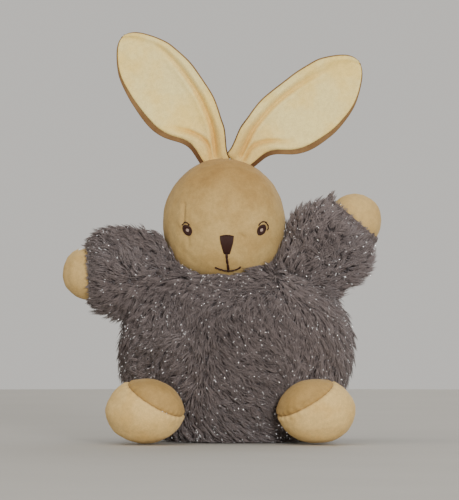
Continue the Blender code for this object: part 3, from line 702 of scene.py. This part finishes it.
def makeBodyFur():
    # clumps all over the body, but none in the neck, under the arms' roots or under the seat
    around = spiralDirections(bodyPile["clumps"], 11)
    step = 1e-3
    e1 = unit(np.cross(around, (0.31, 0.17, 0.93)))
    e2 = np.cross(around, e1)
    centres = bodySkin(around)
    smooth, first, second = [bodySurface(way, body["skinDepth"])
                             for way in (around, unit(around + e1 * step), unit(around + e2 * step))]
    sheer = outOfHead(outOfBall(smooth, chinDip["centre"], chinDip["half"]), head["socket"])
    normals = unit(np.cross(first - smooth, second - smooth))
    pushed = np.linalg.norm(centres - sheer, axis=1)
    toHead = np.linalg.norm(centres - head["centre"], axis=1) - head["radius"]
    keep = (centres[:, 2] > 0.0022) & (pushed < 0.0042) & (toHead > 0.0014)
    for arm in arms.values():
        along, off = armPlace(centres, arm)
        keep &= ~((along > -0.012) & (off < sleeveSkinRadius(along, arm) - 0.0020))
    centres, normals, toHead = centres[keep], normals[keep], toHead[keep]
    # the pile hangs and swirls, stands a little at the nape, parts below the chin and runs out on the arms
    sweep = waves(centres, 0.075, 21)
    lay = np.array((0, 0, -0.85)) + 0.26 * waveVectors(centres, 0.024, 31)
    lay[:, 0] += 1.25 * sweep
    atNeck, behind = bump(np.maximum(toHead, 0), 0.010), centres[:, 1] > 0.004
    lay += (atNeck * np.where(behind, 2.2, 0))[:, None] * np.array((0, 0, 1.0))
    cheek = np.clip((np.abs(centres[:, 0] - chinDip["centre"][0]) - 0.013) / 0.008, 0, 1)
    lay += (atNeck * np.where(behind, 0, 3.4 * cheek))[:, None] * np.array((0, 0, 1.0))
    lay += (atNeck * np.where(behind, 0, 2.0 * (1 - cheek)))[:, None] * unit(centres - head["centre"])
    underChin = np.where(behind, 0, atNeck * (1 - cheek))
    stand, scale = 1 - 0.50 * underChin, 1 - 0.25 * underChin + 0.35 * np.where(behind, 0, atNeck * cheek)
    for side, arm in arms.items():
        lay[:, 0] += bump(np.linalg.norm(centres - arm["pivot"], axis=1), 0.026) * sides[side] * 1.3
    lay[:, 2] += bump(centres[:, 2], 0.010) * 0.9
    lay[:, :2] += (bump(centres[:, 2], 0.012) * 0.8)[:, None] * unit(centres - body["centre"])[:, :2]

    def keepOut(line):
        line = outOfFeet(outOfHead(line, pileGap), pileGap)
        for arm in arms.values():
            line = outOfBall(line, arm["hand"], hand["radius"] + pileGap)
        return line

    front = centres[:, 1] < 0
    high, leftHalf = centres[:, 2] > bodyPile["split"], centres[:, 0] > body["centre"][0]
    parts = {"FurHigh": high, "FurLowLeft": ~high & leftHalf, "FurLowRight": ~high & ~leftHalf}
    parts = [(panel + name, face & part) for panel, face in (("bodyFront", front), ("bodyBack", ~front))
             for name, part in parts.items()]
    for number, (name, part) in enumerate(parts):
        fur = furLocks(name, centres[part], normals[part], lay[part], lockLook, 100 + number, keepOut,
                       bodyPile["tinsel"], scale[part], stand[part])
        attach(fur, "torso")


makeBodyFur()


# sleeves: a fur tube from the shoulder seam to the cuff

sleevePile = {"clumps": 1650, "tinsel": 200, "cuff": 0.0350, "lastLock": 0.0345, "rows": 42, "around": 72}


def makeSleeve(side):
    arm = arms[side]
    e1, e2, w = basis(arm["axis"])
    rows, cols, rootEnd = sleevePile["rows"], sleevePile["around"], arm["root"][0][0]
    s, b = pairGrid(np.linspace(rootEnd, sleevePile["cuff"], rows), roundTurns(cols))
    points = sleeveSkin(s, np.cos(b)[:, None] * e1 + np.sin(b)[:, None] * e2, arm)
    quads = gridFaces(rows, cols, closed=True)[:, [0, 3, 2, 1]]  # turned over, to face out
    cloth = thicken(putMesh(f"sleeveCloth.{side}", points, [quads], [furGround]), 0.0008)
    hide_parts(f"sleeve_{side}")

    count = sleevePile["clumps"]
    rng = np.random.default_rng(7)
    s = np.linspace(rootEnd, sleevePile["lastLock"], 400)
    area = np.cumsum(sleeveSkinRadius(s, arm))
    s = np.interp((np.arange(count) + rng.uniform(0, 1, count)) / count * area[-1], area, s)
    b = np.arange(count) * goldenAngle + rng.normal(0, 0.10, count)
    radial = np.cos(b)[:, None] * e1 + np.sin(b)[:, None] * e2
    centres = sleeveSkin(s, radial, arm)
    slope = (sleeveSkinRadius(s + 0.001, arm) - sleeveSkinRadius(s - 0.001, arm)) / 0.002
    normals = unit(radial - np.clip(slope, -0.8, 0.8)[:, None] * w)
    rel = (centres - body["centre"]) / (*(body["half"] - 0.006), body["rise"] - 0.006)
    toHead = np.linalg.norm(centres - head["centre"], axis=1) - head["radius"]
    keep = (np.linalg.norm(rel, axis=1) > 0.98) & (toHead > 0.0012)
    centres, normals, s, toHead = centres[keep], normals[keep], s[keep], toHead[keep]
    # short at the cuff, long and flat where it laps over the hand, short and flat away from the head
    facing = 0.5 + 0.5 * radial[keep] @ arm["headward"]
    lap = arm["lap"] * facing**2 * np.clip((s - 0.022) / 0.010, 0, 1)
    under = arm["slim"] * (1 - facing) * np.clip((s - 0.012) / 0.015, 0, 1)
    scale = np.maximum(np.clip((0.0385 - s) / 0.013, 0.45, 1), 0.85 * lap) * (1 - 0.5 * under)
    stand = 1 - 0.5 * under - 0.62 * lap
    lay = (arm["axis"] * np.maximum(np.clip((sleevePile["lastLock"] - s) / 0.006, 0.5, 1), 1.5 * lap)[:, None]
           + 0.42 * waveVectors(centres, 0.034, 61) + 0.20 * waveVectors(centres, 0.013, 71)
           + bump(np.maximum(toHead, 0), 0.008)[:, None] * np.array((0, 0, 1.6)))

    def keepOut(line):
        return outOfHead(outOfBall(line, arm["hand"], hand["radius"] + pileGap), pileGap)

    fur = furLocks(f"sleeveFur.{side}", centres, normals, lay, lockLook, 200 + sides[side], keepOut,
                   sleevePile["tinsel"], scale, stand)
    for piece in (cloth, fur):
        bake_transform(piece)


for side in sides:
    makeSleeve(side)
print("fur combed")


# velour pieces, each cut at its seams after stuffing

def seamGroove(gap, depth=0.0008, width=0.0009):
    # sinks to the seam and swells a little beside it
    return -depth * bump(gap, width) + 0.30 * depth * bump(gap - 0.0026, 0.0016)


headPuff = {"voxel": 0.0045, "pressure": 4.0, "cap": 0.0010}
face = {"creases": [([(-0.0276, 0.1440), (-0.0282, 0.1325)], 0.00095),
                    ([(-0.0252, 0.1235), (-0.0249, 0.1180)], 0.00045),
                    ([(0.0062, 0.1255), (0.0090, 0.1232)], 0.00050)],
        "cheeks": [(-0.0125, 0.1110), (0.0095, 0.1110)],
        "eyes": {"right": (-0.0259, 0.1280), "left": (0.0191, 0.1282)}}
headSwell = stuffedSwell("head", head["centre"], np.array((0.0360, 0.0360, 0.0366)),
                         lambda p: np.abs(p[:, 1] - head["centre"][1]), headPuff)


def headSurface(around):
    # the ball, taller above its middle and fuller below, with its swell, seam, creases and soft lumps
    wide = head["radius"] * jowl(around[:, 2])
    half = np.stack([wide, wide, np.where(around[:, 2] > 0, head["rise"], head["radius"])], -1)
    points = head["centre"] + around * (half - 0.0004)
    lift = swellAt(headSwell, around) * head["radius"] * 0.5
    gap = np.abs(points[:, 1] - head["centre"][1])
    puckers = np.sin(np.arctan2(around[:, 2], around[:, 0]) * 140)
    lift += seamGroove(gap) + 0.00007 * puckers * bump(gap, 0.0022)
    lift += 0.00022 * waves(points, 0.020, 41) + 0.00010 * waves(points, 0.007, 42)
    flat, front = points[:, ::2], points[:, 1] < head["centre"][1]
    for line, depth in face["creases"]:
        off, t = toLine(flat, line)
        lift -= np.where(front, depth * bump(off, 0.0009) - 0.4 * depth * bump(off - 0.0020, 0.0012), 0)
    for place in face["cheeks"]:
        lift += np.where(front, 0.0007 * bump(np.linalg.norm(flat - place, axis=1), 0.0085), 0)
    for place in face["eyes"].values():
        lift -= np.where(front, 0.0004 * bump(np.linalg.norm(flat - place, axis=1), 0.0040), 0)
    return points + around * lift[:, None]


def makeHead():
    for name, low, high, node in (("faceVelour", 0.0, math.pi / 2, "head_face_panel"),
                                  ("napeVelour", math.pi / 2, math.pi, "head_back_panel")):
        alpha, beta, faces = ballPatch(72, 200, low, high)
        points = headSurface(directions(alpha, beta, (0, -1, 0)))
        cover = thicken(putMesh(name, points, faces, [headVelour]), 0.0007)
        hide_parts(node)
        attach(cover, "head")


makeHead()


def onFace(flat, lift):
    # flat (x, z) places go on to the face from the front; returns the points and their outward directions
    rel = flat - head["centre"][::2]
    tall = np.where(rel[..., 1] > 0, head["rise"], head["radius"])
    up = np.stack([rel[..., 0] / (head["radius"] * jowl(rel[..., 1] / tall)), rel[..., 1] / tall], -1)
    fore = -np.sqrt(np.maximum(1 - (up**2).sum(-1), 0.01))
    around = np.stack([up[..., 0], fore, up[..., 1]], -1)
    out = unit(around)
    return headSurface(around.reshape(-1, 3)).reshape(around.shape) + out * np.asarray(lift)[..., None], out


def stitchTubes(paths, out, radius):
    # each path is a round thread: rings across it, with flat ends
    ahead = unit(np.gradient(paths, axis=1))
    across = unit(np.cross(ahead, out))
    up = np.cross(across, ahead)
    count, long, corners = paths.shape[0], paths.shape[1], 8
    turn = roundTurns(corners)[:, None]
    rim = np.cos(turn) * up[:, :, None] + np.sin(turn) * across[:, :, None]
    ring = paths[:, :, None] + radius[..., None, None] * rim
    quads = gridFaces(long, corners, closed=True)[:, ::-1]
    start = (np.arange(count) * long * corners)[:, None, None]
    ends = np.stack([np.arange(corners)[::-1], (long - 1) * corners + np.arange(corners)])
    return ring.reshape(-1, 3), [(quads + start).reshape(-1, 4), (ends + start).reshape(-1, corners)]


def stitch(name, flatPaths, radius, material, lift=0.00016, arch=0.00022):
    # threads lie on the face and arch a little between their ends
    flatPaths = np.asarray(flatPaths, float)
    t = np.linspace(0, 1, flatPaths.shape[1])
    arc = np.sin(np.pi * t)
    paths, out = onFace(flatPaths, np.broadcast_to(lift + arch * arc, flatPaths.shape[:2]))
    size = np.broadcast_to(radius * (0.55 + 0.45 * arc**0.4), flatPaths.shape[:2])
    points, faces = stitchTubes(paths, out, size)
    piece = putMesh(name, points, faces, [material])
    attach(piece, "head")
    return piece


def runningThread(line, pieces, count=7):
    # a line cut into equal overlapping stitches
    whole = smoothLine(line, 400)
    cuts = np.linspace(0, 399, pieces + 1)
    t = np.linspace(-0.08, 1.08, count)
    at = np.clip(cuts[:-1, None] + t[None] * (cuts[1:] - cuts[:-1])[:, None], 0, 399).astype(int)
    return whole[at]


eyeLook = {"half": np.array((0.0026, 0.0037)), "inner": 0.34, "tilt": 30, "stitches": 46,
           "thread": 0.00032, "middleThread": 0.00022, "lidThread": 0.00044,
           "lids": {"right": [(-0.0029, 0.0030), (-0.0023, 0.0043), (-0.0012, 0.0049), (0.0002, 0.0044),
                              (0.0014, 0.0030)],
                    "left": [(-0.0020, 0.0026), (-0.0009, 0.0042), (0.0008, 0.0050), (0.0025, 0.0045),
                             (0.0036, 0.0031), (0.0040, 0.0014), (0.0034, -0.0002)]}}


def makeEye(side):
    # satin stitches set square across an almond ring, and a pale straight-stitch middle
    place, lean = np.array(face["eyes"][side]), math.radians(eyeLook["tilt"] * sides[side])
    turn = np.array(((math.cos(lean), math.sin(lean)), (-math.sin(lean), math.cos(lean))))
    a = roundTurns(eyeLook["stitches"])
    rim = np.stack([np.cos(a) * (1 - 0.25 * np.abs(np.sin(a)) ** 3), np.sin(a)], -1) * eyeLook["half"]
    t = np.linspace(eyeLook["inner"], 1.0, 6)
    ring = (rim[:, None] * t[None, :, None]) @ turn.T + place
    ring = stitch(f"eyeRing.{side}", ring, eyeLook["thread"], brownFloss)
    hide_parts(f"eye_{side}")
    across = np.linspace(-0.55, 0.55, 5) * eyeLook["half"][0] * eyeLook["inner"] * 1.5
    tall = np.sqrt(1 - np.linspace(-0.75, 0.75, 5) ** 2) * eyeLook["half"][1] * eyeLook["inner"]
    middle = np.stack([np.broadcast_to(across[:, None], (5, 6)), tall[:, None] * np.linspace(-1, 1, 6)], -1)
    stitch(f"eyeMiddle.{side}", middle @ turn.T + place, eyeLook["middleThread"], paleFloss, 0.00005, 0.00010)
    lid = runningThread(np.array(eyeLook["lids"][side]) + place, 5)
    lid = stitch(f"eyelidStitch.{side}", lid, eyeLook["lidThread"], brownFloss)
    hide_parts(f"eyelid_{side}")


for side in sides:
    makeEye(side)

noseLook = {"top": np.array((-0.0019, 0.1252)), "half": 0.0041, "tall": 0.0116, "stitches": 22,
            "thread": 0.00032}
mouthLook = {"drop": [(-0.0021, 0.1140), (-0.0017, 0.1095), (-0.0008, 0.1040)], "dropThread": 0.00078,
             "smile": [(-0.0089, 0.1061), (-0.0068, 0.1051), (-0.0038, 0.1041), (-0.0008, 0.1037),
                       (0.0021, 0.1041), (0.0048, 0.1051), (0.0064, 0.1063)], "smileThread": 0.00056}


def makeNose():
    # upright satin stitches side by side, their lower ends on a blunt V
    x = np.linspace(-1, 1, noseLook["stitches"])
    top = noseLook["top"][1] + 0.0004 * np.cos(x * 2.2) - 0.0004
    low = noseLook["top"][1] - noseLook["tall"] * (1 - 0.45 * np.clip((np.abs(x) - 0.50) / 0.50, 0, 1) ** 1.3)
    t = np.linspace(0, 1, 9)
    z = top[:, None] + (low - top)[:, None] * t
    lean = 1 - 0.22 * t
    paths = np.stack([noseLook["top"][0] + noseLook["half"] * x[:, None] * lean, z], -1)
    nose = stitch("noseSatin", paths, noseLook["thread"], brownFloss, 0.00012, 0.00045)
    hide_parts("nose")
    drop = stitch("noseLine", runningThread(mouthLook["drop"], 3), mouthLook["dropThread"], brownFloss)
    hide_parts("nose_to_mouth_line")
    smile = stitch("mouthLine", runningThread(mouthLook["smile"], 7), mouthLook["smileThread"], brownFloss)
    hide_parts("mouth")


makeNose()
print("face embroidered")


# hands and feet

def makeHand(side):
    # a ball with one seam round it, in the plane of the arms
    arm = arms[side]
    centre, half = arm["hand"], np.full(3, hand["radius"])
    swell = stuffedSwell(f"hand.{side}", centre, half - 0.0006, lambda p: np.abs(p[:, 1] - centre[1]),
                         {"voxel": 0.0040, "pressure": 4.0, "cap": 0.0008})
    alpha, beta, faces = ballPatch(56, 96)
    around = directions(alpha, beta, arm["axis"])
    points = centre + around * (half - 0.0004)
    lift = swellAt(swell, around, 0.16) * hand["radius"] * 0.6
    lift += 0.00018 * waves(points, 0.012, 81) + 0.00007 * waves(points, 0.004, 82)
    lift += seamGroove(np.abs(points[:, 1] - centre[1]), 0.0006, 0.0007)
    cover = putMesh(f"handVelour.{side}", points + around * lift[:, None], faces, [handVelour])
    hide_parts(f"hand_{side}")
    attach(cover, f"arm_{side}")


# the seam's plane leans, so it runs high on the foot's inner side
footSeam = {"normal": np.array((0.581, 0.210, -0.787)), "offset": -0.485, "puckers": 26,
            "puckerDepth": 0.00028}


def makeFoot(side):
    # a stretched ball in two pieces, the sole on the seam plane's forward side
    centre = feet[side]["centre"]
    pole = unit(footSeam["normal"] * (sides[side], 1, 1))
    seamAt = math.acos(footSeam["offset"])
    swell = stuffedSwell(f"foot.{side}", centre, footHalf - 0.0008,
                         lambda p: np.abs(((p - centre) / footHalf) @ pole - footSeam["offset"]) * footMean,
                         {"voxel": 0.0040, "pressure": 4.0, "cap": 0.0010})
    for name, low, high, node, finish in (("soleVelour", 0.0, seamAt, "sole", soleVelour),
                                          ("upperVelour", seamAt, math.pi, "upper", upperVelour)):
        rings = 64 if name == "soleVelour" else 40
        alpha, beta, faces = ballPatch(rings, 150, low, high)
        around = directions(alpha, beta, pole)
        points = centre + around * (footHalf - 0.0005)
        gap = np.abs(alpha - seamAt) * footMean
        lift = swellAt(swell, around, 0.14) * footMean * 0.6 + seamGroove(gap, 0.0009, 0.0009)
        lift += 0.00022 * waves(points, 0.013, 91) + 0.00007 * waves(points, 0.005, 92)
        puckers = np.sin(beta * footSeam["puckers"] + 2 * np.sin(beta * 3))
        lift += footSeam["puckerDepth"] * puckers * bump(gap - 0.0012, 0.0022)
        points = points + around * lift[:, None]
        points[:, 2] = np.maximum(points[:, 2], 0.0002)
        cover = thicken(putMesh(f"{name}.{side}", points, faces, [finish]), 0.0007)
        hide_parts(f"foot_{side}_{node}")
        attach(cover, f"leg_{side}")


for side in sides:
    makeHand(side)
    makeFoot(side)
print("hands and feet stuffed")


# ears: a cream lining set into a tan back that rolls round to the front

# outer, inner and bandAt in millimetres, the rest in metres: (along the ear, across it from its middle)
earLook = {"outer": [(-12.0, 6.8), (-8.0, 7.8), (-2.0, 7.9), (5.0, 7.8), (9.0, 8.8), (12.6, 11.0),
                     (21.0, 17.8), (31.7, 21.6), (47.8, 22.2), (60.0, 20.4), (66.0, 18.7), (72.0, 16.6),
                     (79.0, 14.6), (86.0, 13.8)],
           "inner": [(-12.0, -9.0), (-7.0, -10.2), (4.5, -16.4), (10.0, -17.8), (19.0, -20.4),
                     (27.5, -21.8), (46.5, -21.7), (54.0, -21.0), (60.0, -19.8), (66.0, -18.5),
                     (72.0, -16.5), (79.0, -14.6), (86.0, -13.8)],
           "bandAt": [(-12.0, 2.4), (6.0, 2.6), (14.0, 3.4), (34.0, 3.2), (56.0, 1.9), (72.0, 0.8),
                      (86.0, 0.5)],
           "rimInner": 0.0006, "front": 0.0020, "rear": 0.0022, "root": -0.0120, "tip": 0.0860,
           "closing": 0.0655, "reach": 0.0845,
           "valley": [(-0.006, -0.0024), (0.0032, -0.0074), (0.010, -0.0104), (0.020, -0.0128),
                      (0.032, -0.0144), (0.047, -0.0142), (0.062, -0.0122), (0.077, -0.0080)],
           "fold": [(-0.006, 0.0006), (0.002, -0.0024), (0.009, -0.0010), (0.0155, 0.0030),
                    (0.020, 0.0072), (0.027, 0.0118)]}
ears = {"right": {"pivot": np.array((-0.0142, 0.0010, 0.1769)), "lean": 33.5, "tipShift": 0.0030},
        "left": {"pivot": np.array((0.0128, 0.0010, 0.1752)), "lean": 51.5, "tipShift": -0.0032}}


def earWidths(side, along):
    # the edges, averaged over 5 mm, close to a round tip along a quarter of an ellipse
    chains = [smoothLine(np.array(earLook[edge]) / 1000, 400) for edge in ("outer", "inner")]
    near = along + np.linspace(-0.0025, 0.0025, 5)[:, None]
    outer, inner = [np.interp(near, chain[:, 0], chain[:, 1]).mean(0) for chain in chains]
    tipward = np.clip((along - earLook["closing"]) / (earLook["tip"] - earLook["closing"]), 0, 1)
    close = np.sqrt(1 - tipward**2)
    middle = (outer + inner) / 2 + ears[side]["tipShift"] * np.clip((along - 0.045) / 0.041, 0, 1) ** 1.3
    half = (outer - inner) / 2 * close
    return middle + half, middle - half


def earFolds(along, across):
    # how deep each point lies in the folds, less the ridges beside them, and the folds as a mask for the
    # painted shade in them
    place = np.stack([along, across], -1)
    depth, mask = np.zeros(len(along)), np.zeros(len(along))
    for name, deep, wide in (("valley", 0.0021, 0.0014), ("fold", 0.0017, 0.0012)):
        off, t = toLine(place, smoothLine(earLook[name], 24))
        fade = np.clip((1 - t) * 2.2, 0, 1)
        depth += fade * deep * (bump(off, wide) - 0.45 * bump(off - wide * 2.1, wide * 1.3))
        mask = np.maximum(mask, fade * bump(off, wide * 0.9))
    return depth, mask


def earSurface(side, along, psi, creased=True):
    # across = middle + half width cos(psi); the front stands forward of a curled sheet by sin(psi) to a power
    outer, inner = earWidths(side, along)
    middle, half = (outer + inner) / 2, (outer - inner) / 2
    across = middle + half * np.cos(psi)
    q = np.cos(psi)
    thin = np.clip(half / 0.0090, 0.12, 1)
    sine = np.abs(np.sin(psi)) ** 0.62
    curl = 0.0046 * np.exp(-np.maximum(along, 0) / 0.020) + 0.0014
    sheet = -curl * np.abs(q) ** 2.4 * thin + 0.0030 * (along / earLook["reach"]) ** 2
    y = sheet + np.where(np.sin(psi) > 0, -earLook["front"], earLook["rear"]) * sine * thin
    if creased:  # the inner edge is rolled all the way up, the outer one near the stem
        roll = 0.0016 * bump(across - inner - 0.0034, 0.0022)
        roll += 0.0016 * bump(outer - across - 0.0056, 0.0024) * bump(along - 0.014, 0.018)
        raised = roll * np.clip(np.sin(psi) * 2.5, 0, 1) - earFolds(along, across)[0]
        y -= np.where(np.sin(psi) > 0, raised, 0)
    y += 0.00035 * waves(np.stack([along, across, along * 0], -1), 0.022, 43 + sides[side])
    lean, sign = math.radians(ears[side]["lean"]), sides[side]
    stem = np.array((sign * math.sin(lean), 0, math.cos(lean)))
    outwards = np.array((sign * math.cos(lean), 0, -math.sin(lean)))
    flat = ears[side]["pivot"] + along[:, None] * stem + across[:, None] * outwards
    return flat + y[:, None] * np.array((0, 1, 0))


def hangEar(side, piece, node, slot):
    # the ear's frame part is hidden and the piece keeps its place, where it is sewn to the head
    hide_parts(f"ear_{side}_{node}")
    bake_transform(piece)


def makeEar(side):
    # the lining covers the front between the two rims, and the back goes round behind it
    rows = 120
    climb = np.sin(np.pi / 2 * np.linspace(0, 1, rows)) ** 0.9
    along = earLook["root"] + (earLook["tip"] - earLook["root"]) * climb
    outer, inner = earWidths(side, along)
    half = np.maximum((outer - inner) / 2, 1e-5)
    band = np.interp(along, *(np.array(earLook["bandAt"]).T / 1000))
    rimOut = np.arccos(np.clip(1 - band / half, 0.0, 1))
    rimIn = np.arccos(np.clip(1 - earLook["rimInner"] / half, 0.0, 1))
    for name, start, end, cols, node, finish, slot in (
            ("earLining", rimOut, np.pi - rimIn, 80, "lining", earCream, "cream_velour"),
            ("earBack", np.pi - rimIn, 2 * np.pi + rimOut, 110, "back", earTan, "tan_velour")):
        v = np.linspace(0, 1, cols)
        psi = start[:, None] + (end - start)[:, None] * v
        grid = np.broadcast_to(along[:, None], psi.shape)
        points = earSurface(side, grid.ravel(), psi.ravel())
        if name == "earLining":  # its edges tuck under the roll
            edge = np.minimum(v, 1 - v)[None, :] * 2 * half[:, None]
            points[:, 1] += (0.0007 * bump(edge, 0.0008)).ravel()
        piece = putMesh(f"{name}.{side}", points, [gridFaces(rows, cols)], [finish], flip=side == "right")
        corner = np.empty(len(piece.data.loops), np.int32)
        piece.data.loops.foreach_get("vertex_index", corner)
        across = (outer + inner)[:, None] / 2 + (outer - inner)[:, None] / 2 * np.cos(psi)
        place = np.clip(grid.ravel() / earLook["reach"], 0, 1)
        # the "fold" map holds where the folds' painted shade goes
        foldShade = earFolds(grid.ravel(), across.ravel())[1]
        maps = {"along": (place, np.broadcast_to(v, psi.shape).ravel()), "fold": (foldShade, foldShade)}
        for label, flat in maps.items():
            layer = piece.data.uv_layers.new(name=label)
            layer.data.foreach_set("uv", np.stack(flat, -1)[corner].astype(np.float32).ravel())
        hangEar(side, thicken(piece, 0.0005), node, slot)
    # a thin layer of wadding lies against the back
    cols, rows = 60, along[4:-16:3]
    grid, psi = pairGrid(rows, roundTurns(cols))
    full, mirrored = earSurface(side, grid, psi, False), earSurface(side, grid, -psi, False)
    points = (full + np.where(np.sin(psi) > 0, 0.72, 0.12)[:, None] * (mirrored - full)).reshape(-1, cols, 3)
    points = (points.mean(1, keepdims=True) + 0.93 * (points - points.mean(1, keepdims=True))).reshape(-1, 3)
    ends = np.stack([np.arange(cols), (len(rows) - 1) * cols + np.arange(cols)[::-1]])
    faces = [gridFaces(len(rows), cols, closed=True), ends]
    wad = putMesh(f"earWadding.{side}", points, faces, [fibreFill], flip=side == "right")
    hangEar(side, wad, "wadding", "fibre_fill")


for side in sides:
    makeEar(side)
print("ears sewn")


# tail and care label

tail = {"centre": np.array((0.0035, 0.0560, 0.0300)), "radius": 0.0085, "clumps": 210, "tinsel": 16,
        "lock": {**lockLook, "length": 0.0088, "spread": 0.0017}}


def makeTail():
    # a small ball with its own fur, sewn to the back
    alpha, beta, faces = ballPatch(20, 36)
    around = directions(alpha, beta, (0, 1, 0))
    points = tail["centre"] + around * (tail["radius"] + 0.0003 * waves(around * 0.02, 0.012, 55))[:, None]
    core = putMesh("tailCloth", points, faces, [furGround])
    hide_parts("tail")
    around = spiralDirections(tail["clumps"], 17)
    centres = tail["centre"] + around * tail["radius"]
    keep = centres[:, 1] > 0.0490
    lay = np.array((0, 0.2, -0.8)) + 0.8 * waveVectors(centres, 0.015, 57)
    fur = furLocks("tailFur", centres[keep], around[keep], lay[keep], tail["lock"], 58, lambda line: line,
                   tail["tinsel"])
    for piece in (core, fur):
        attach(piece, "torso")


makeTail()

label = {"width": 0.0180, "length": 0.0280, "centre": np.array((0.0350, 0.0490, 0.0300)), "turn": -27,
         "hang": 0.0012, "rows": 29, "cols": 19}


def makeLabel():
    # a woven tag hung from its top edge, bowed a little away from the back
    rows, cols = label["rows"], label["cols"]
    v, u = pairGrid(np.linspace(0.5, -0.5, rows), np.linspace(-0.5, 0.5, cols))
    x, z = u * label["width"], v * label["length"]
    y = label["hang"] * (0.5 - v) ** 2 + 0.0004 * np.cos(u * 3.0)
    a = math.radians(label["turn"])
    turned = (x * math.cos(a) - y * math.sin(a), x * math.sin(a) + y * math.cos(a), z)
    points = label["centre"] + np.stack(turned, -1)
    made, nodes, links, shader = newMaterial("wovenTape")
    coords = nodes.new("ShaderNodeTexCoord").outputs["Object"]
    weave = nodes.new("ShaderNodeTexWave")
    weave.bands_direction = "Z"
    weave.inputs["Scale"].default_value = 900.0
    links.new(coords, weave.inputs["Vector"])
    threads = mathNode(nodes, links, "ADD", weave.outputs["Fac"], noiseNode(nodes, links, coords, 1800.0, 2))
    tone = rangeNode(nodes, links, threads, 0.4, 1.5)
    tone = mixNode(nodes, links, tone, (0.70, 0.69, 0.65, 1), (0.86, 0.85, 0.82, 1))
    links.new(tone, shader.inputs["Base Color"])
    shader.inputs["Roughness"].default_value = 0.7
    relief = nodes.new("ShaderNodeBump")
    relief.inputs["Strength"].default_value = 0.5
    relief.inputs["Distance"].default_value = 0.0001
    links.new(threads, relief.inputs["Height"])
    links.new(relief.outputs["Normal"], shader.inputs["Normal"])
    quads = gridFaces(rows, cols)[:, [0, 3, 2, 1]]
    tag = thicken(putMesh("careLabel", points, [quads], [made], flip=True), 0.0003)
    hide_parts("care_label")
    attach(tag, "torso")


makeLabel()

# the filling and the seat keep their own shapes and take a finish
inside = {"body_stuffing": fibreFill, "head_stuffing": fibreFill, "neck_wadding": fibreFill,
          "pellet_pouch": pouchCotton, "pellets": makePellets(), "seat_panel": furGround}
for side in sides:
    inside.update({f"arm_{side}_stuffing": fibreFill, f"foot_{side}_stuffing": fibreFill})
for node, finish in inside.items():
    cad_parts[node].data.materials.clear()
    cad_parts[node].data.materials.append(finish)
print("filling finished")

# floor and light
stage = {"floorRadius": 1.31, "floorSides": 160, "floorDepth": 0.03, "sky": 0.69,
         "lamps": {"key": {"at": (0.75, -3.05, 0.60), "size": 0.68, "power": 76.0},
                   "top": {"at": (-0.5, -0.3, 1.6), "size": 1.4, "power": 5.0},
                   "back": {"at": (0.6, 1.5, 1.1), "size": 1.4, "power": 8.0}}}


def makeFloor():
    # a round slab whose top is at the toy's seat
    turn = roundTurns(stage["floorSides"])
    rim = np.stack([np.cos(turn), np.sin(turn), turn * 0], -1) * stage["floorRadius"]
    top = np.arange(stage["floorSides"])
    low = top + stage["floorSides"]
    wall = np.stack([low, np.roll(low, -1), np.roll(top, -1), top], -1)
    points = np.concatenate([rim, rim - (0, 0, stage["floorDepth"])])
    floor = putMesh("floor", points, [wall, top[None], low[::-1][None]], smooth=False)
    made, nodes, links, shader = newMaterial("paleTable")
    coords = nodes.new("ShaderNodeTexCoord").outputs["Object"]
    cloud = noiseNode(nodes, links, coords, 9.0, 3)
    cloud = mixNode(nodes, links, cloud, (0.42, 0.40, 0.36, 1), (0.47, 0.45, 0.41, 1))
    links.new(cloud, shader.inputs["Base Color"])
    shader.inputs["Roughness"].default_value = 0.75
    floor.data.materials.append(made)


def makeLight():
    # an even sky and three soft disks that face the toy
    world = bpy.context.scene.world or bpy.data.worlds.new("world")
    bpy.context.scene.world = world
    world.use_nodes = True
    sky = world.node_tree.nodes["Background"]
    sky.inputs["Color"].default_value = (0.95, 0.92, 0.87, 1)
    sky.inputs["Strength"].default_value = stage["sky"]
    for name, look in stage["lamps"].items():
        lamp = bpy.data.lights.new(name, "AREA")
        lamp.shape = "DISK"
        lamp.size = look["size"]
        lamp.energy = look["power"]
        light = bpy.data.objects.new(name, lamp)
        light.location = look["at"]
        aim = np.array((0, 0, 0.10)) - np.array(look["at"])
        tip, swing = math.atan2(math.hypot(aim[0], aim[1]), -aim[2]), math.atan2(aim[1], aim[0]) - math.pi / 2
        light.rotation_euler = (tip, 0, swing)
        bpy.context.scene.collection.objects.link(light)


makeFloor()
makeLight()
print("stage set")
